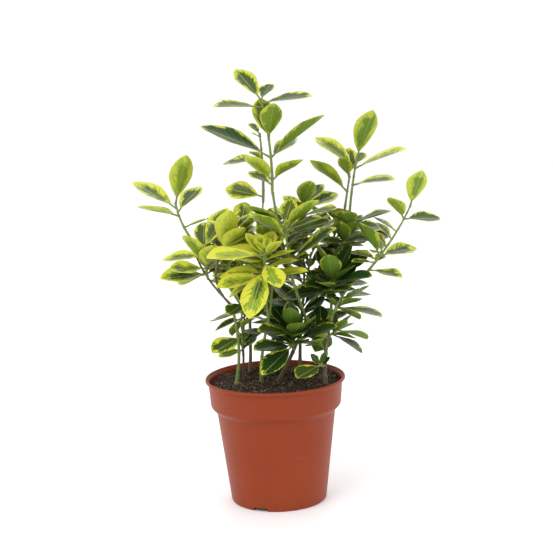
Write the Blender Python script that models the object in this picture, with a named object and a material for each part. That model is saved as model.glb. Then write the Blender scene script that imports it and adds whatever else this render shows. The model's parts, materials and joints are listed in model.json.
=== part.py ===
# Potted Japanese spindle: a bushy young shrub with variegated leaves in a round nursery pot.
# Sizes in the tables are millimetres and angles are degrees. The origin is the middle of the
# pot's flat underside, +Z is up, and -Y is the side that the shrub shows to the front.
import math
import random

import bmesh
import bpy
from mathutils import Matrix, Vector
from mathutils.bvhtree import BVHTree

MM = 0.001
GAP = 0.3

# Pot
POT_HEIGHT = 108.0
POT_WALL = 1.2
POT_STEPS = 42
LIP_RADIUS = 60.0
COLLAR_RADIUS = 57.4
COLLAR_FOOT_RADIUS = 55.9
COLLAR_FOOT_HEIGHT = 84.0
BODY_TOP_RADIUS = 50.8
BODY_TOP_HEIGHT = 79.0
BASE_RADIUS = 41.0
BASE_THICKNESS = 1.8
NOTCH_COUNT = 3
NOTCH_FIRST_TURN = -113.0
NOTCH_WIDTH = 13.0
NOTCH_DEPTH = 9.0
NOTCH_HEIGHT = 3.0
NOTCH_SLANT = 1.2
NOTCH_BELOW = 2.0
NOTCH_BEYOND = 4.0

# The pot's half section as small steps outwards and upwards from a named radius and height
LIP_STEPS = ((-1.0, 0.0), (-0.3, -0.4), (0.0, -1.2), (0.0, -2.2), (-0.6, -2.9))
COLLAR_TOP_STEPS = ((0.2, -3.6), (0.0, -4.8))
COLLAR_FOOT_STEPS = ((0.0, 0.8), (-0.6, -0.4))
BODY_TOP_STEPS = ((0.5, 0.6), (0.0, -0.8))
BASE_STEPS = ((0.2, 1.6), (-0.2, 0.5), (-1.0, 0.0))
INNER_BASE_STEPS = ((-2.0, 0.0), (-1.2, 0.7))
INNER_BODY_STEPS = ((-POT_WALL, 0.0), (-0.5, 1.6))
INNER_FOOT_STEPS = ((-1.7, 0.6), (-POT_WALL, 1.8))
INNER_COLLAR_STEPS = ((-POT_WALL, -5.4), (-0.7, -3.0))
INNER_LIP_STEPS = ((-1.9, -1.2), (-1.6, -0.3))

# Soil
SOIL_LEVEL = 104.0
SOIL_STEPS = 36
SOIL_RINGS = 9
SOIL_BUMP = 1.4
SOIL_FLAT_ROUND_STEM = 14.5
SOIL_CLEARANCE = 0.4
SOIL_EDGE_STEP = 0.4
SOIL_EDGE_DROP = 0.8
SOIL_FOOT_STEP = 1.2
SOIL_SEED = 5

# Limbs
CANE_SIDES = 8
BOUGH_SIDES = 6
STEM_SIDES = 6
CANE_RINGS = 8
BOUGH_RINGS = 6
STEM_RINGS = 4
ROOT_FLARE = 0.55
ROOT_FLARE_HEIGHT = 6.0
CUT_POINTS = 8
CUT_STEP = 0.002
CUT_LAST = 0.9
CUT_MARGIN = 1.15

# Leaves
STEM_RADII = (1.2, 0.7)
PETIOLE_SHARE = 0.13
PETIOLE_RADIUS = 0.75
LEAF_THICKNESS = 0.9
LEAF_FOLD = 0.30
LEAF_ARCH = 0.04
LEAF_STATIONS = ((0.28, 0.74), (0.60, 1.0), (0.86, 0.62))
LEAF_DROP = 0.5
SKY_PULL = 0.75
STEM_PULL = 0.45
FRONT_PULL = 0.35
BACK_PULL = 0.7
LOOKS_BACK = 0.25
GUARD = 0.35
LEAF_INSIDE = 0.3
LEAF_OUTSIDE = 1.0
FIRST_LEAF = 2.5
LAST_LEAF_SHARE = 0.985
WIDEST = 0.68
WIDTH_OF_SHORTEST = 0.86
WIDTH_FALL = 0.006
LEAF_SIZES = (0.8, 1.1)
TURN_SPREAD = 12
LIFT_SPREAD = 8

# Canes stand in the soil; a bough leaves its parent limb at a share of its length
LIMBS = {
    "cane_front": {
        "foot": (3, -4), "tip": (28, -8, 158), "bow": (1, 0, 0),
        "radii": (2.3, 1.9), "skin": "bark",
    },
    "cane_middle": {
        "foot": (-12, -7), "tip": (-4, -20, 160), "bow": (-2, -1, 0),
        "radii": (1.9, 1.6), "skin": "green",
    },
    "cane_left": {
        "foot": (-33, -8), "tip": (-35, -8, 173), "bow": (4, 0, 0),
        "radii": (1.9, 1.5), "skin": "green",
    },
    "cane_left_thin": {
        "foot": (-27, 6), "tip": (-23, 0, 176), "bow": (-1, 1, 0),
        "radii": (1.4, 1.0), "skin": "bark",
    },
    "cane_right": {
        "foot": (42, -20), "tip": (49, -12, 159), "bow": (-2, 0, 0),
        "radii": (2.4, 2.0), "skin": "bark",
    },
    "cane_back_left": {
        "foot": (-22, 26), "tip": (-21, 24, 172), "bow": (1, 0, 0),
        "radii": (2.0, 1.6), "skin": "bark",
    },
    "cane_back_right": {
        "foot": (22, 30), "tip": (27, 28, 172), "bow": (-1, 1, 0),
        "radii": (2.1, 1.7), "skin": "bark",
    },
    "cane_back": {
        "foot": (-3, 40), "tip": (-2, 46, 176), "bow": (2, 0, 0),
        "radii": (2.1, 1.7), "skin": "bark",
    },
    "bough_top": {
        "parent": "cane_front", "at": 1.0, "tip": (3, -24, 271), "bow": (-3, -6, 0),
        "radii": (1.9, 1.4), "skin": "green",
    },
    "bough_middle": {
        "parent": "cane_middle", "at": 1.0, "tip": (-6, -34, 193), "bow": (0, 0, 0),
        "radii": (1.5, 1.2), "skin": "green",
    },
    "bough_centre": {
        "parent": "cane_middle", "at": 0.97, "tip": (0, -13, 192), "bow": (1, 1, 0),
        "radii": (1.3, 1.1), "skin": "green",
    },
    "bough_far_left": {
        "parent": "cane_left", "at": 1.0, "tip": (-67, 14, 226), "bow": (-6, 0, 0),
        "radii": (1.4, 1.0), "skin": "bark",
    },
    "bough_left": {
        "parent": "cane_left", "at": 0.98, "tip": (-42, -16, 216), "bow": (-8, 0, 0),
        "radii": (1.4, 1.1), "skin": "bark",
    },
    "bough_right": {
        "parent": "cane_right", "at": 1.0, "tip": (68, 26, 235), "bow": (-4.5, 2, 0),
        "radii": (1.8, 1.3), "skin": "green",
    },
    "bough_right_twin": {
        "parent": "bough_right", "at": 0.55, "tip": (64, 33, 240), "bow": (-2, 1, 0),
        "radii": (1.1, 0.9), "skin": "green",
    },
    "bough_far_right": {
        "parent": "cane_right", "at": 0.98, "tip": (79, -14, 197), "bow": (-3, 0, 3.5),
        "radii": (1.6, 1.3), "skin": "green",
    },
    "bough_centre_left": {
        "parent": "cane_back_left", "at": 1.0, "tip": (-26, 12, 206), "bow": (-1, 0, 0),
        "radii": (1.4, 1.2), "skin": "green",
    },
    "bough_centre_back": {
        "parent": "cane_back_right", "at": 1.0, "tip": (27, 18, 218), "bow": (1, 0, 0),
        "radii": (1.5, 1.2), "skin": "green",
    },
    "bough_top_back": {
        "parent": "cane_back_left", "at": 0.98, "tip": (-5, 14, 258), "bow": (2, 3, 0),
        "radii": (1.2, 0.9), "skin": "green",
    },
    "bough_back_left": {
        "parent": "cane_back", "at": 0.98, "tip": (-40, 60, 206), "bow": (-2, 1, -3),
        "radii": (1.5, 1.2), "skin": "green",
    },
    "bough_back_right": {
        "parent": "cane_back_right", "at": 0.98, "tip": (52, 58, 208), "bow": (1, 0, -3),
        "radii": (1.5, 1.2), "skin": "green",
    },
    "bough_back": {
        "parent": "cane_back", "at": 1.0, "tip": (4, 66, 218), "bow": (0, 0, 0),
        "radii": (1.5, 1.2), "skin": "green",
    },
}

# A shoot is the stem of one mass of leaves. Each row is one leaf: its rise along the stem, its turn
# about the upright, its lift above level and its length. Pairs are added by a seeded rule.
SHOOTS = {
    "crown_top": {
        "parent": "bough_top", "at": 1.0, "tip": (-4, -15, 345), "bow": (2.5, -1.5, 0),
        "seed": 11, "pairs": 3, "leaf": 34, "face": "back", "span": (0.0, 0.5),
        "leaves": (
            (1.0, 135, 40, 38), (1.0, 65, 30, 24), (0.9, -155, 5, 44), (0.95, -20, 5, 44),
            (0.55, -75, 60, 36), (0.55, 105, 55, 40), (0.35, 170, 25, 64), (0.35, -25, 35, 60),
            (0.35, 45, 25, 34), (0.1, -45, 30, 40), (0.1, -130, 35, 38), (0.05, 135, 20, 28),
        ),
    },
    "crown_top_back": {
        "parent": "bough_top_back", "at": 1.0, "tip": (-6, 12, 315), "bow": (1, 0, 0),
        "seed": 12, "pairs": 2, "leaf": 24, "face": "back", "span": (0.05, 0.5),
        "leaves": (
            (1.0, 130, 35, 16), (0.95, -140, 20, 10), (0.6, -130, 30, 18), (0.6, 155, -5, 38),
            (0.0, 155, 10, 36, -1.4),
        ),
    },
    "crown_front": {
        "parent": "bough_top", "at": 0.34, "tip": (12, -36, 242), "bow": (0, -5, 0),
        "seed": 13, "pairs": 3, "leaf": 38, "face": "back", "span": (0.25, 0.9),
        "leaves": (
            (0.3, -30, 35, 54), (0.3, -155, 0, 60), (0.8, 25, 10, 54), (0.8, -145, 35, 42),
            (0.95, -145, 30, 46), (0.95, -40, 35, 44), (0.9, -35, 20, 38), (1.0, 75, 50, 28),
            (1.0, 95, 45, 24),
        ),
    },
    "crown_middle": {
        "parent": "bough_middle", "at": 1.0, "tip": (-5, -42, 224), "bow": (0, -2, 0),
        "seed": 14, "pairs": 3, "leaf": 38, "face": "back", "span": (0.1, 0.9),
        "leaves": (
            (0.85, -145, 5, 56), (0.85, -45, 35, 24), (1.0, -135, 35, 14), (1.0, 65, 40, 14),
            (0.65, -70, -25, 38), (0.5, -110, -40, 52), (0.4, 150, -10, 44), (0.3, -140, -10, 42),
            (0.3, 155, -30, 40),
        ),
    },
    "crown_centre": {
        "parent": "bough_centre", "at": 1.0, "tip": (2, -2, 226), "bow": (0, 0, 0),
        "seed": 15, "pairs": 5, "leaf": 40, "face": "all", "span": (0.0, 1.0),
        "leaves": (),
    },
    "crown_far_left": {
        "parent": "bough_far_left", "at": 1.0, "tip": (-80, 22, 257), "bow": (-2, 0, 0),
        "seed": 16, "pairs": 1, "leaf": 34, "face": "back", "span": (0.3, 0.9),
        "leaves": (
            (1.0, -50, 65, 46), (0.75, 55, 30, 38), (0.85, 150, 25, 50), (0.65, -145, 15, 42),
        ),
    },
    "crown_left": {
        "parent": "bough_far_left", "at": 0.42, "tip": (-56, -12, 221), "bow": (0, -3, 0),
        "seed": 17, "pairs": 3, "leaf": 36, "face": "back", "span": (0.1, 0.95),
        "leaves": (
            (0.1, -150, 0, 44), (0.1, 155, -20, 30), (0.35, -145, 5, 36), (0.75, 160, -5, 42),
            (0.1, -60, 30, 30), (0.35, -80, 55, 34), (0.45, -105, 50, 40), (0.95, 90, 45, 32),
            (1.0, 60, 45, 44),
        ),
    },
    "crown_left_upper": {
        "parent": "bough_left", "at": 1.0, "tip": (-35, -14, 239), "bow": (0, 0, 0),
        "seed": 18, "pairs": 4, "leaf": 38, "face": "all", "span": (0.0, 1.0),
        "leaves": (
            (0.2, -60, 65, 40), (0.6, -140, 35, 38), (0.15, -45, 40, 36), (0.0, 115, 25, 30),
        ),
    },
    "crown_centre_left": {
        "parent": "bough_centre_left", "at": 1.0, "tip": (-25, 6, 235), "bow": (0, 0, 0),
        "seed": 19, "pairs": 4, "leaf": 38, "face": "all", "span": (0.0, 0.8),
        "leaves": (
            (1.0, -120, 50, 36), (1.0, 80, 40, 32), (0.95, -50, 30, 20), (0.75, 40, 5, 30),
        ),
    },
    "crown_centre_back": {
        "parent": "bough_centre_back", "at": 1.0, "tip": (28, 12, 252), "bow": (0, 0, 0),
        "seed": 20, "pairs": 4, "leaf": 38, "face": "all", "span": (0.0, 0.8),
        "leaves": (
            (0.95, -70, 50, 32), (0.9, 35, 15, 40), (0.75, -40, 5, 38), (0.8, 135, 35, 26),
            (1.0, 40, 35, 30),
        ),
    },
    "crown_right": {
        "parent": "bough_right", "at": 1.0, "tip": (77, 32, 292), "bow": (-1, 0, 0),
        "seed": 21, "pairs": 2, "leaf": 38, "face": "back", "span": (0.55, 0.95),
        "leaves": (
            (0.95, -45, 65, 46), (0.8, 145, 35, 48), (0.8, -25, 20, 50), (0.55, -30, 10, 40),
            (0.85, 60, 30, 20),
        ),
    },
    "crown_right_twin": {
        "parent": "bough_right_twin", "at": 1.0, "tip": (70, 36, 274), "bow": (0, 0, 0),
        "seed": 22, "pairs": 1, "leaf": 30, "face": "back", "span": (0.8, 0.95),
        "leaves": (
            (0.6, -155, 40, 46), (0.95, -120, 55, 24), (1.0, 85, 65, 28),
        ),
    },
    "crown_right_inner": {
        "parent": "bough_right", "at": 0.68, "tip": (69, 12, 236), "bow": (2, -2, 0),
        "seed": 23, "pairs": 4, "leaf": 38, "face": "all", "span": (0.0, 1.0),
        "leaves": (
            (0.35, 15, 5, 42), (0.95, -30, 20, 40), (0.25, -100, 55, 28), (0.75, 30, 0, 34),
            (0.15, -120, 15, 28),
        ),
    },
    "crown_right_middle": {
        "parent": "bough_right", "at": 0.2, "tip": (52, -14, 195), "bow": (0, -2, 0),
        "seed": 24, "pairs": 4, "leaf": 38, "face": "all", "span": (0.2, 1.0),
        "leaves": (
            (0.65, -80, 60, 36), (0.8, 65, 30, 38), (0.7, -45, 15, 44), (0.45, -140, 15, 32),
            (0.4, 160, -10, 46), (0.95, 50, 25, 42),
        ),
    },
    "crown_far_right": {
        "parent": "bough_far_right", "at": 1.0, "tip": (117, -16, 253), "bow": (3, 0, 0),
        "seed": 25, "pairs": 2, "leaf": 34, "face": "back", "span": (0.1, 0.9),
        "leaves": (
            (1.0, -50, 65, 34), (0.8, -125, 45, 30), (0.8, 20, -5, 34), (0.25, -150, 60, 36),
            (0.25, 30, 5, 38), (0.2, 140, 10, 28), (0.0, -40, -5, 34),
        ),
    },
    "crown_right_low": {
        "parent": "bough_far_right", "at": 0.12, "tip": (60, 2, 176), "bow": (1, 0, 0),
        "seed": 26, "pairs": 3, "leaf": 36, "face": "all", "span": (0.2, 1.0),
        "leaves": (
            (0.15, -35, -5, 44), (0.35, -65, 30, 28), (0.05, 40, -30, 30), (0.85, 40, -5, 34),
            (0.15, 130, 5, 30),
        ),
    },
    "spray_right_low": {
        "parent": "cane_right", "at": 0.72, "tip": (54, -4, 147), "bow": (0, 0, 0),
        "seed": 27, "pairs": 1, "leaf": 32, "face": "back", "span": (0.5, 1.0),
        "leaves": (
            (1.0, 40, -20, 38), (0.4, -40, 0, 26), (0.0, -40, -20, 34), (0.1, 120, -35, 34),
        ),
    },
    "spray_right_foot": {
        "parent": "cane_right", "at": 0.28, "tip": (38, -26, 122), "bow": (0, 0, 0),
        "seed": 28, "pairs": 0, "leaf": 20, "face": "back", "span": (0.5, 1.0),
        "leaves": (
            (1.0, -125, -5, 36),
        ),
    },
    "spray_middle_low": {
        "parent": "cane_front", "at": 0.5, "tip": (17, -18, 150), "bow": (-1, -2, 0),
        "seed": 29, "pairs": 5, "leaf": 40, "face": "all", "span": (0.1, 1.0),
        "leaves": (
            (0.0, -150, 5, 46), (0.85, -135, 15, 42), (1.0, 125, 30, 34), (0.0, -135, -25, 42),
        ),
    },
    "spray_left_low": {
        "parent": "cane_left_thin", "at": 0.55, "tip": (-24, -10, 174), "bow": (-2, -3, 0),
        "seed": 30, "pairs": 3, "leaf": 32, "face": "all", "span": (0.1, 1.0),
        "leaves": (
            (1.0, -115, -5, 30), (0.95, 160, -10, 36), (0.75, 155, -20, 42), (0.55, 155, -25, 30),
            (0.55, 130, -50, 22), (0.5, -85, 50, 30),
        ),
    },
    "spray_left_foot": {
        "parent": "cane_left_thin", "at": 0.3, "tip": (-27, -12, 146), "bow": (0, -2, 0),
        "seed": 31, "pairs": 1, "leaf": 24, "face": "back", "span": (0.3, 1.0),
        "leaves": (
            (1.0, -130, -10, 38), (0.3, -150, -10, 22),
        ),
    },
    "crown_right_centre": {
        "parent": "cane_back_right", "at": 0.9, "tip": (34, 2, 214), "bow": (0, 0, -2),
        "seed": 45, "pairs": 6, "leaf": 38, "face": "all", "span": (0.15, 1.0),
        "leaves": (),
    },
    "spray_right_middle": {
        "parent": "cane_right", "at": 0.5, "tip": (34, -8, 146), "bow": (0, 0, 0),
        "seed": 46, "pairs": 5, "leaf": 36, "face": "all", "span": (0.15, 1.0),
        "leaves": (),
    },
    "crown_left_back": {
        "parent": "cane_back_left", "at": 0.9, "tip": (-52, 42, 212), "bow": (-3, 2, -3),
        "seed": 47, "pairs": 6, "leaf": 40, "face": "all", "span": (0.3, 1.0),
        "leaves": (),
    },
    "crown_right_back": {
        "parent": "cane_back_right", "at": 0.75, "tip": (60, 44, 196), "bow": (3, 2, -3),
        "seed": 48, "pairs": 6, "leaf": 40, "face": "all", "span": (0.3, 1.0),
        "leaves": (),
    },
    "crown_low_back": {
        "parent": "cane_back_right", "at": 0.5, "tip": (26, 8, 168), "bow": (0, 0, -2),
        "seed": 32, "pairs": 7, "leaf": 40, "face": "all", "span": (0.05, 1.0),
        "leaves": (),
    },
    "crown_back_left": {
        "parent": "bough_back_left", "at": 1.0, "tip": (-56, 78, 236), "bow": (0, 0, 0),
        "seed": 33, "pairs": 7, "leaf": 40, "face": "all", "span": (0.0, 1.0),
        "leaves": (),
    },
    "crown_back_right": {
        "parent": "bough_back_right", "at": 1.0, "tip": (66, 74, 240), "bow": (0, 0, 0),
        "seed": 34, "pairs": 7, "leaf": 40, "face": "all", "span": (0.0, 1.0),
        "leaves": (),
    },
    "crown_back": {
        "parent": "bough_back", "at": 1.0, "tip": (6, 80, 244), "bow": (0, 0, 0),
        "seed": 35, "pairs": 7, "leaf": 40, "face": "all", "span": (0.0, 1.0),
        "leaves": (),
    },
    "crown_back_low": {
        "parent": "cane_back", "at": 0.45, "tip": (-4, 66, 164), "bow": (0, 0, -2),
        "seed": 36, "pairs": 7, "leaf": 38, "face": "all", "span": (0.1, 1.0),
        "leaves": (),
    },
}

# Space of the seeded leaves: height and half-width of the crown, which falls off toward the back
CROWN_MIDDLE = (17, 18)
CROWN_SPACE = ((105, 42), (145, 58), (187, 76), (217, 83), (245, 74), (258, 44))
CROWN_FALL = 0.18
LIFT_LOW = 8
LIFT_HIGH = 48
TRIES = 28
LOOSE_TURN = 35
LOOSE_LIFT = 20
LOOSE_SIZE = 0.7
NUDGES = [(turn, lift, size) for size in (1.0, 0.9, 0.8)
          for lift in (0, 6, -6, 12, -12) for turn in (0, 7, -7, 14, -14, 21, -21)]

# Colour, roughness and metallic value of each material
SKINS = {
    "pot": ((0.58, 0.17, 0.08), 0.45, 0.0),
    "soil": ((0.05, 0.032, 0.022), 0.95, 0.0),
    "bark": ((0.16, 0.12, 0.05), 0.8, 0.0),
    "green": ((0.28, 0.38, 0.08), 0.5, 0.0),
    "leaf": ((0.30, 0.42, 0.08), 0.4, 0.0),
}


def clear_scene():
    for obj in list(bpy.data.objects):
        bpy.data.objects.remove(obj, do_unlink=True)


def skin(name):
    material = bpy.data.materials.get(name)
    if material:
        return material
    colour, roughness, metallic = SKINS[name]
    material = bpy.data.materials.new(name)
    material.use_nodes = True
    shader = material.node_tree.nodes["Principled BSDF"]
    shader.inputs["Base Color"].default_value = (*colour, 1)
    shader.inputs["Roughness"].default_value = roughness
    shader.inputs["Metallic"].default_value = metallic
    return material


# A mesh object from points in millimetres
def solid(name, points, faces, skin_name, collection=None):
    mesh = bpy.data.meshes.new(name)
    mesh.from_pydata([Vector(point) * MM for point in points], [], faces)
    obj = bpy.data.objects.new(name, mesh)
    mesh.materials.append(skin(skin_name))
    (collection or bpy.context.scene.collection).objects.link(obj)
    return obj


def apply_modifiers(obj):
    bpy.ops.object.select_all(action="DESELECT")
    bpy.context.view_layer.objects.active = obj
    obj.select_set(True)
    for modifier in list(obj.modifiers):
        bpy.ops.object.modifier_apply(modifier=modifier.name)


def smooth(obj, sharp_angle):
    obj.data.shade_smooth()
    obj.data.set_sharp_from_angle(angle=math.radians(sharp_angle))


# A round solid turned about the pot's axis from its half section
def turned(name, section, steps, skin_name):
    edges = [(i, i + 1) for i in range(len(section) - 1)]
    mesh = bpy.data.meshes.new(name)
    mesh.from_pydata([(radius * MM, 0, height * MM) for radius, height in section], edges, [])
    obj = bpy.data.objects.new(name, mesh)
    bpy.context.scene.collection.objects.link(obj)
    screw = obj.modifiers.new("turn", "SCREW")
    screw.steps = steps
    screw.render_steps = steps
    screw.use_merge_vertices = True
    screw.merge_threshold = 0.00001
    mesh.materials.append(skin(skin_name))
    return obj


def stepped(radius, height, steps):
    return [(radius + out, height + up) for out, up in steps]


def pot_outside():
    return (stepped(LIP_RADIUS, POT_HEIGHT, LIP_STEPS)
            + stepped(COLLAR_RADIUS, POT_HEIGHT, COLLAR_TOP_STEPS)
            + stepped(COLLAR_FOOT_RADIUS, COLLAR_FOOT_HEIGHT, COLLAR_FOOT_STEPS)
            + stepped(BODY_TOP_RADIUS, BODY_TOP_HEIGHT, BODY_TOP_STEPS)
            + stepped(BASE_RADIUS, 0, BASE_STEPS))


def pot_inside():
    return ([(0, BASE_THICKNESS)]
            + stepped(BASE_RADIUS, BASE_THICKNESS, INNER_BASE_STEPS)
            + stepped(BODY_TOP_RADIUS, BODY_TOP_HEIGHT, INNER_BODY_STEPS)
            + stepped(COLLAR_FOOT_RADIUS, COLLAR_FOOT_HEIGHT, INNER_FOOT_STEPS)
            + stepped(COLLAR_RADIUS, POT_HEIGHT, INNER_COLLAR_STEPS)
            + stepped(LIP_RADIUS, POT_HEIGHT, INNER_LIP_STEPS))


# Drainage notches through the foot of the wall and the floor behind it
def notch_cutter():
    points, faces = [], []
    half = NOTCH_WIDTH / 2
    outline = [(-half, -NOTCH_BELOW), (half, -NOTCH_BELOW),
               (half - NOTCH_SLANT, NOTCH_HEIGHT), (NOTCH_SLANT - half, NOTCH_HEIGHT)]
    for i in range(NOTCH_COUNT):
        turn = Matrix.Rotation(math.radians(NOTCH_FIRST_TURN + i * 360 / NOTCH_COUNT), 3, "Z")
        first = len(points)
        for reach in (BASE_RADIUS - NOTCH_DEPTH, BASE_RADIUS + NOTCH_BEYOND):
            points += [turn @ Vector((reach, side, height)) for side, height in outline]
        near = [first + k for k in range(4)]
        far = [first + 4 + k for k in range(4)]
        faces += [near[::-1], far]
        faces += [(near[k], near[(k + 1) % 4], far[(k + 1) % 4], far[k]) for k in range(4)]
    cutter = solid("notch_cutter", points, faces, "pot")
    cutter.hide_render = True
    cutter.display_type = "WIRE"
    return cutter


def build_pot():
    pot = turned("pot", pot_inside() + pot_outside() + [(0, 0)], POT_STEPS, "pot")
    cut = pot.modifiers.new("notches", "BOOLEAN")
    cut.object = notch_cutter()
    cut.operation = "DIFFERENCE"
    smooth(pot, 40)


# The soil follows the inside of the wall, and at the slanted step it also stays clear above it
def soil_section():
    inside = [(radius - SOIL_CLEARANCE, height) for radius, height in pot_inside()[2:8]]
    for i in (2, 3):
        inside[i] = (inside[i][0], inside[i][1] + GAP)
    edge = inside[-1][0]
    rings = [(edge * i / SOIL_RINGS, SOIL_LEVEL) for i in range(SOIL_RINGS)]
    rim = [(edge - SOIL_EDGE_STEP, SOIL_LEVEL - SOIL_EDGE_DROP)]
    floor = BASE_THICKNESS + SOIL_CLEARANCE
    return rings + rim + inside[::-1] + [(inside[0][0] - SOIL_FOOT_STEP, floor), (0, floor)]


def build_soil():
    soil = turned("soil", soil_section(), SOIL_STEPS, "soil")
    apply_modifiers(soil)
    feet = [Vector(limb["foot"]) for limb in LIMBS.values() if "foot" in limb]
    draw = random.Random(SOIL_SEED)
    for vertex in soil.data.vertices:
        place = vertex.co / MM
        bump = SOIL_BUMP * draw.uniform(-1, 1)
        nearest = min((place.xy - foot).length for foot in feet)
        if abs(place.z - SOIL_LEVEL) < 0.1 and nearest > SOIL_FLAT_ROUND_STEM:
            vertex.co.z += bump * MM
    smooth(soil, 50)


# Limbs and stems are lines from a start to a tip that bow sideways in the middle
def start_of(limb):
    if "start" in limb:
        return limb["start"]
    if "foot" in limb:
        return Vector((*limb["foot"], SOIL_LEVEL + GAP))
    return place_on(LIMBS[limb["parent"]], limb["at"])


def place_on(limb, share):
    start, tip = start_of(limb), Vector(limb["tip"])
    knee = (start + tip) / 2 + 2 * Vector(limb["bow"])
    return start * (1 - share) ** 2 + knee * (2 * share * (1 - share)) + tip * share ** 2


def heading(limb, share):
    start, tip = start_of(limb), Vector(limb["tip"])
    knee = (start + tip) / 2 + 2 * Vector(limb["bow"])
    return ((knee - start) * (1 - share) + (tip - knee) * share).normalized()


def ring_round(middle, direction, side, radius, count):
    across = (side - direction * side.dot(direction)).normalized()
    other = direction.cross(across)
    angles = [2 * math.pi * i / count for i in range(count)]
    return [middle + (across * math.cos(a) + other * math.sin(a)) * radius for a in angles], across


# Points and faces of a tapering limb; a foot is cut level and flares
def limb_shape(limb, first_share, radii, sides, rings):
    points, faces = [], []
    side = Vector((1, 0, 0))
    on_soil = "foot" in limb
    for i in range(rings):
        share = first_share + (1 - first_share) * (i / (rings - 1)) ** (2 if on_soil else 1)
        middle, direction = place_on(limb, share), heading(limb, share)
        radius = radii[0] + (radii[1] - radii[0]) * share
        if on_soil:
            above = (middle.z - SOIL_LEVEL) / ROOT_FLARE_HEIGHT
            radius *= 1 + ROOT_FLARE * math.exp(-above)
            direction = Vector((0, 0, 1)).lerp(direction, min(above, 1) if i else 0)
        ring, side = ring_round(middle, direction, side, radius, sides)
        points += ring
    for i in range(rings - 1):
        for k in range(sides):
            low, high = i * sides, (i + 1) * sides
            faces.append((low + k, low + (k + 1) % sides, high + (k + 1) % sides, high + k))
    faces.append(tuple(range(sides))[::-1])
    faces.append(tuple(range((rings - 1) * sides, rings * sides)))
    return points, faces


def tree_of(shape):
    return BVHTree.FromPolygons(shape[0], shape[1])


def is_clear(point, trees, gap):
    deep = 4.0
    for tree in trees:
        place, normal, _, distance = tree.find_nearest(point, deep)
        if place and (distance < gap or (point - place).dot(normal) < 0):
            return False
    return True


# Share of a line at which a flat cut of this radius first stands clear of what is there
def clear_share(limb, radius, trees):
    share = 0.0
    while share < CUT_LAST:
        middle, direction = place_on(limb, share), heading(limb, share)
        ring, _ = ring_round(middle, direction, Vector((1, 0, 0)), radius, CUT_POINTS)
        if all(is_clear(point, trees, GAP * CUT_MARGIN) for point in [middle, *ring]):
            return share
        share += CUT_STEP
    return share


def build_limbs():
    trees = {}
    for name, limb in LIMBS.items():
        sides = CANE_SIDES if "foot" in limb else BOUGH_SIDES
        rings = CANE_RINGS if "foot" in limb else BOUGH_RINGS
        first = 0.0 if "foot" in limb else clear_share(limb, limb["radii"][0], trees.values())
        shape = limb_shape(limb, first, limb["radii"], sides, rings)
        smooth(solid(name, *shape, limb["skin"]), 60)
        for other, tree in trees.items():
            if tree.overlap(tree_of(shape)):
                print("limbs touch:", name, other)
        trees[name] = tree_of(shape)
    return list(trees.values())


# A leaf: a petiole and a folded, arched blade with sharp edges, from its stem to its tip
def square_to(wish, along):
    return (wish - along * wish.dot(along)).normalized()


def leaf_shape(base, stem_heading, row, faces_front, first=-LEAF_INSIDE, grown=0.0):
    _, turn, lift, length, *pull = row
    turn, lift = math.radians(turn), math.radians(lift)
    along = Vector((math.cos(lift) * math.cos(turn), math.cos(lift) * math.sin(turn), math.sin(lift)))
    upper = square_to(Vector((0, 0, SKY_PULL)) + stem_heading * STEM_PULL, along)
    if faces_front:
        natural = BACK_PULL * math.sin(lift) ** 2 if upper.y > LOOKS_BACK else -FRONT_PULL
        upper = square_to(upper + Vector((0, pull[0] if pull else natural, 0)), along)
    across = upper.cross(along)
    petiole = length * PETIOLE_SHARE
    blade = length - petiole
    half_width = blade * leaf_width(length) / 2

    def middle(reach):
        share = reach / length
        return base + along * reach + upper * (LEAF_ARCH * length * 4 * share * (1 - share))

    points = [base + along * first]
    stations = [(petiole, PETIOLE_RADIUS, 0.0, 2 * PETIOLE_RADIUS)]
    for share, width in LEAF_STATIONS:
        half = half_width * width
        stations.append((petiole + blade * share, half, half * LEAF_FOLD, LEAF_THICKNESS))
    for reach, half, fold, thickness in stations:
        centre = middle(reach)
        centre -= upper * fold * LEAF_DROP
        half += grown
        thickness += 2 * grown
        points.append(centre - across * half + upper * fold)
        points.append(centre + upper * thickness / 2)
        points.append(centre + across * half + upper * fold)
        points.append(centre - upper * thickness / 2)
    points.append(middle(length + grown))
    faces = [(0, 1 + (k + 1) % 4, 1 + k) for k in range(4)]
    for i in range(len(stations) - 1):
        for k in range(4):
            low, high = 1 + 4 * i, 5 + 4 * i
            a, b, c, d = low + k, low + (k + 1) % 4, high + (k + 1) % 4, high + k
            faces += [(a, b, d), (b, c, d)] if k % 2 else [(a, b, c), (a, c, d)]
    last = len(points) - 1
    faces += [(last, last - 4 + k, last - 4 + (k + 1) % 4) for k in range(4)]
    return points, faces


# Short leaves are rounder than long ones
def leaf_width(length):
    return min(WIDEST, WIDTH_OF_SHORTEST - WIDTH_FALL * length)


def half_crown(height):
    for (low, narrow), (high, wide) in zip(CROWN_SPACE, CROWN_SPACE[1:]):
        if low <= height <= high:
            return narrow + (wide - narrow) * (height - low) / (high - low)
    return 0.0


# Pairs of opposite leaves, each pair a quarter turn from the last
def seeded_rows(shoot, draw):
    rows = []
    low, high = shoot["span"]
    turn = draw.uniform(0, 180)
    for pair in range(shoot["pairs"]):
        rise = low + (high - low) * (pair + 0.5) / shoot["pairs"]
        for side in (0, 180):
            toward = (turn + side + draw.gauss(0, TURN_SPREAD) + 180) % 360 - 180
            if shoot["face"] == "back":
                toward = abs(toward)
            lift = LIFT_LOW + (LIFT_HIGH - LIFT_LOW) * rise + draw.gauss(0, LIFT_SPREAD)
            rows.append((rise, toward, lift, shoot["leaf"] * draw.uniform(*LEAF_SIZES)))
        turn += 90
    return rows


def loose_nudges(draw):
    return [(draw.uniform(-LOOSE_TURN, LOOSE_TURN), draw.uniform(-LOOSE_LIFT, LOOSE_LIFT),
             draw.uniform(LOOSE_SIZE, 1)) for _ in range(TRIES)]


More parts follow.
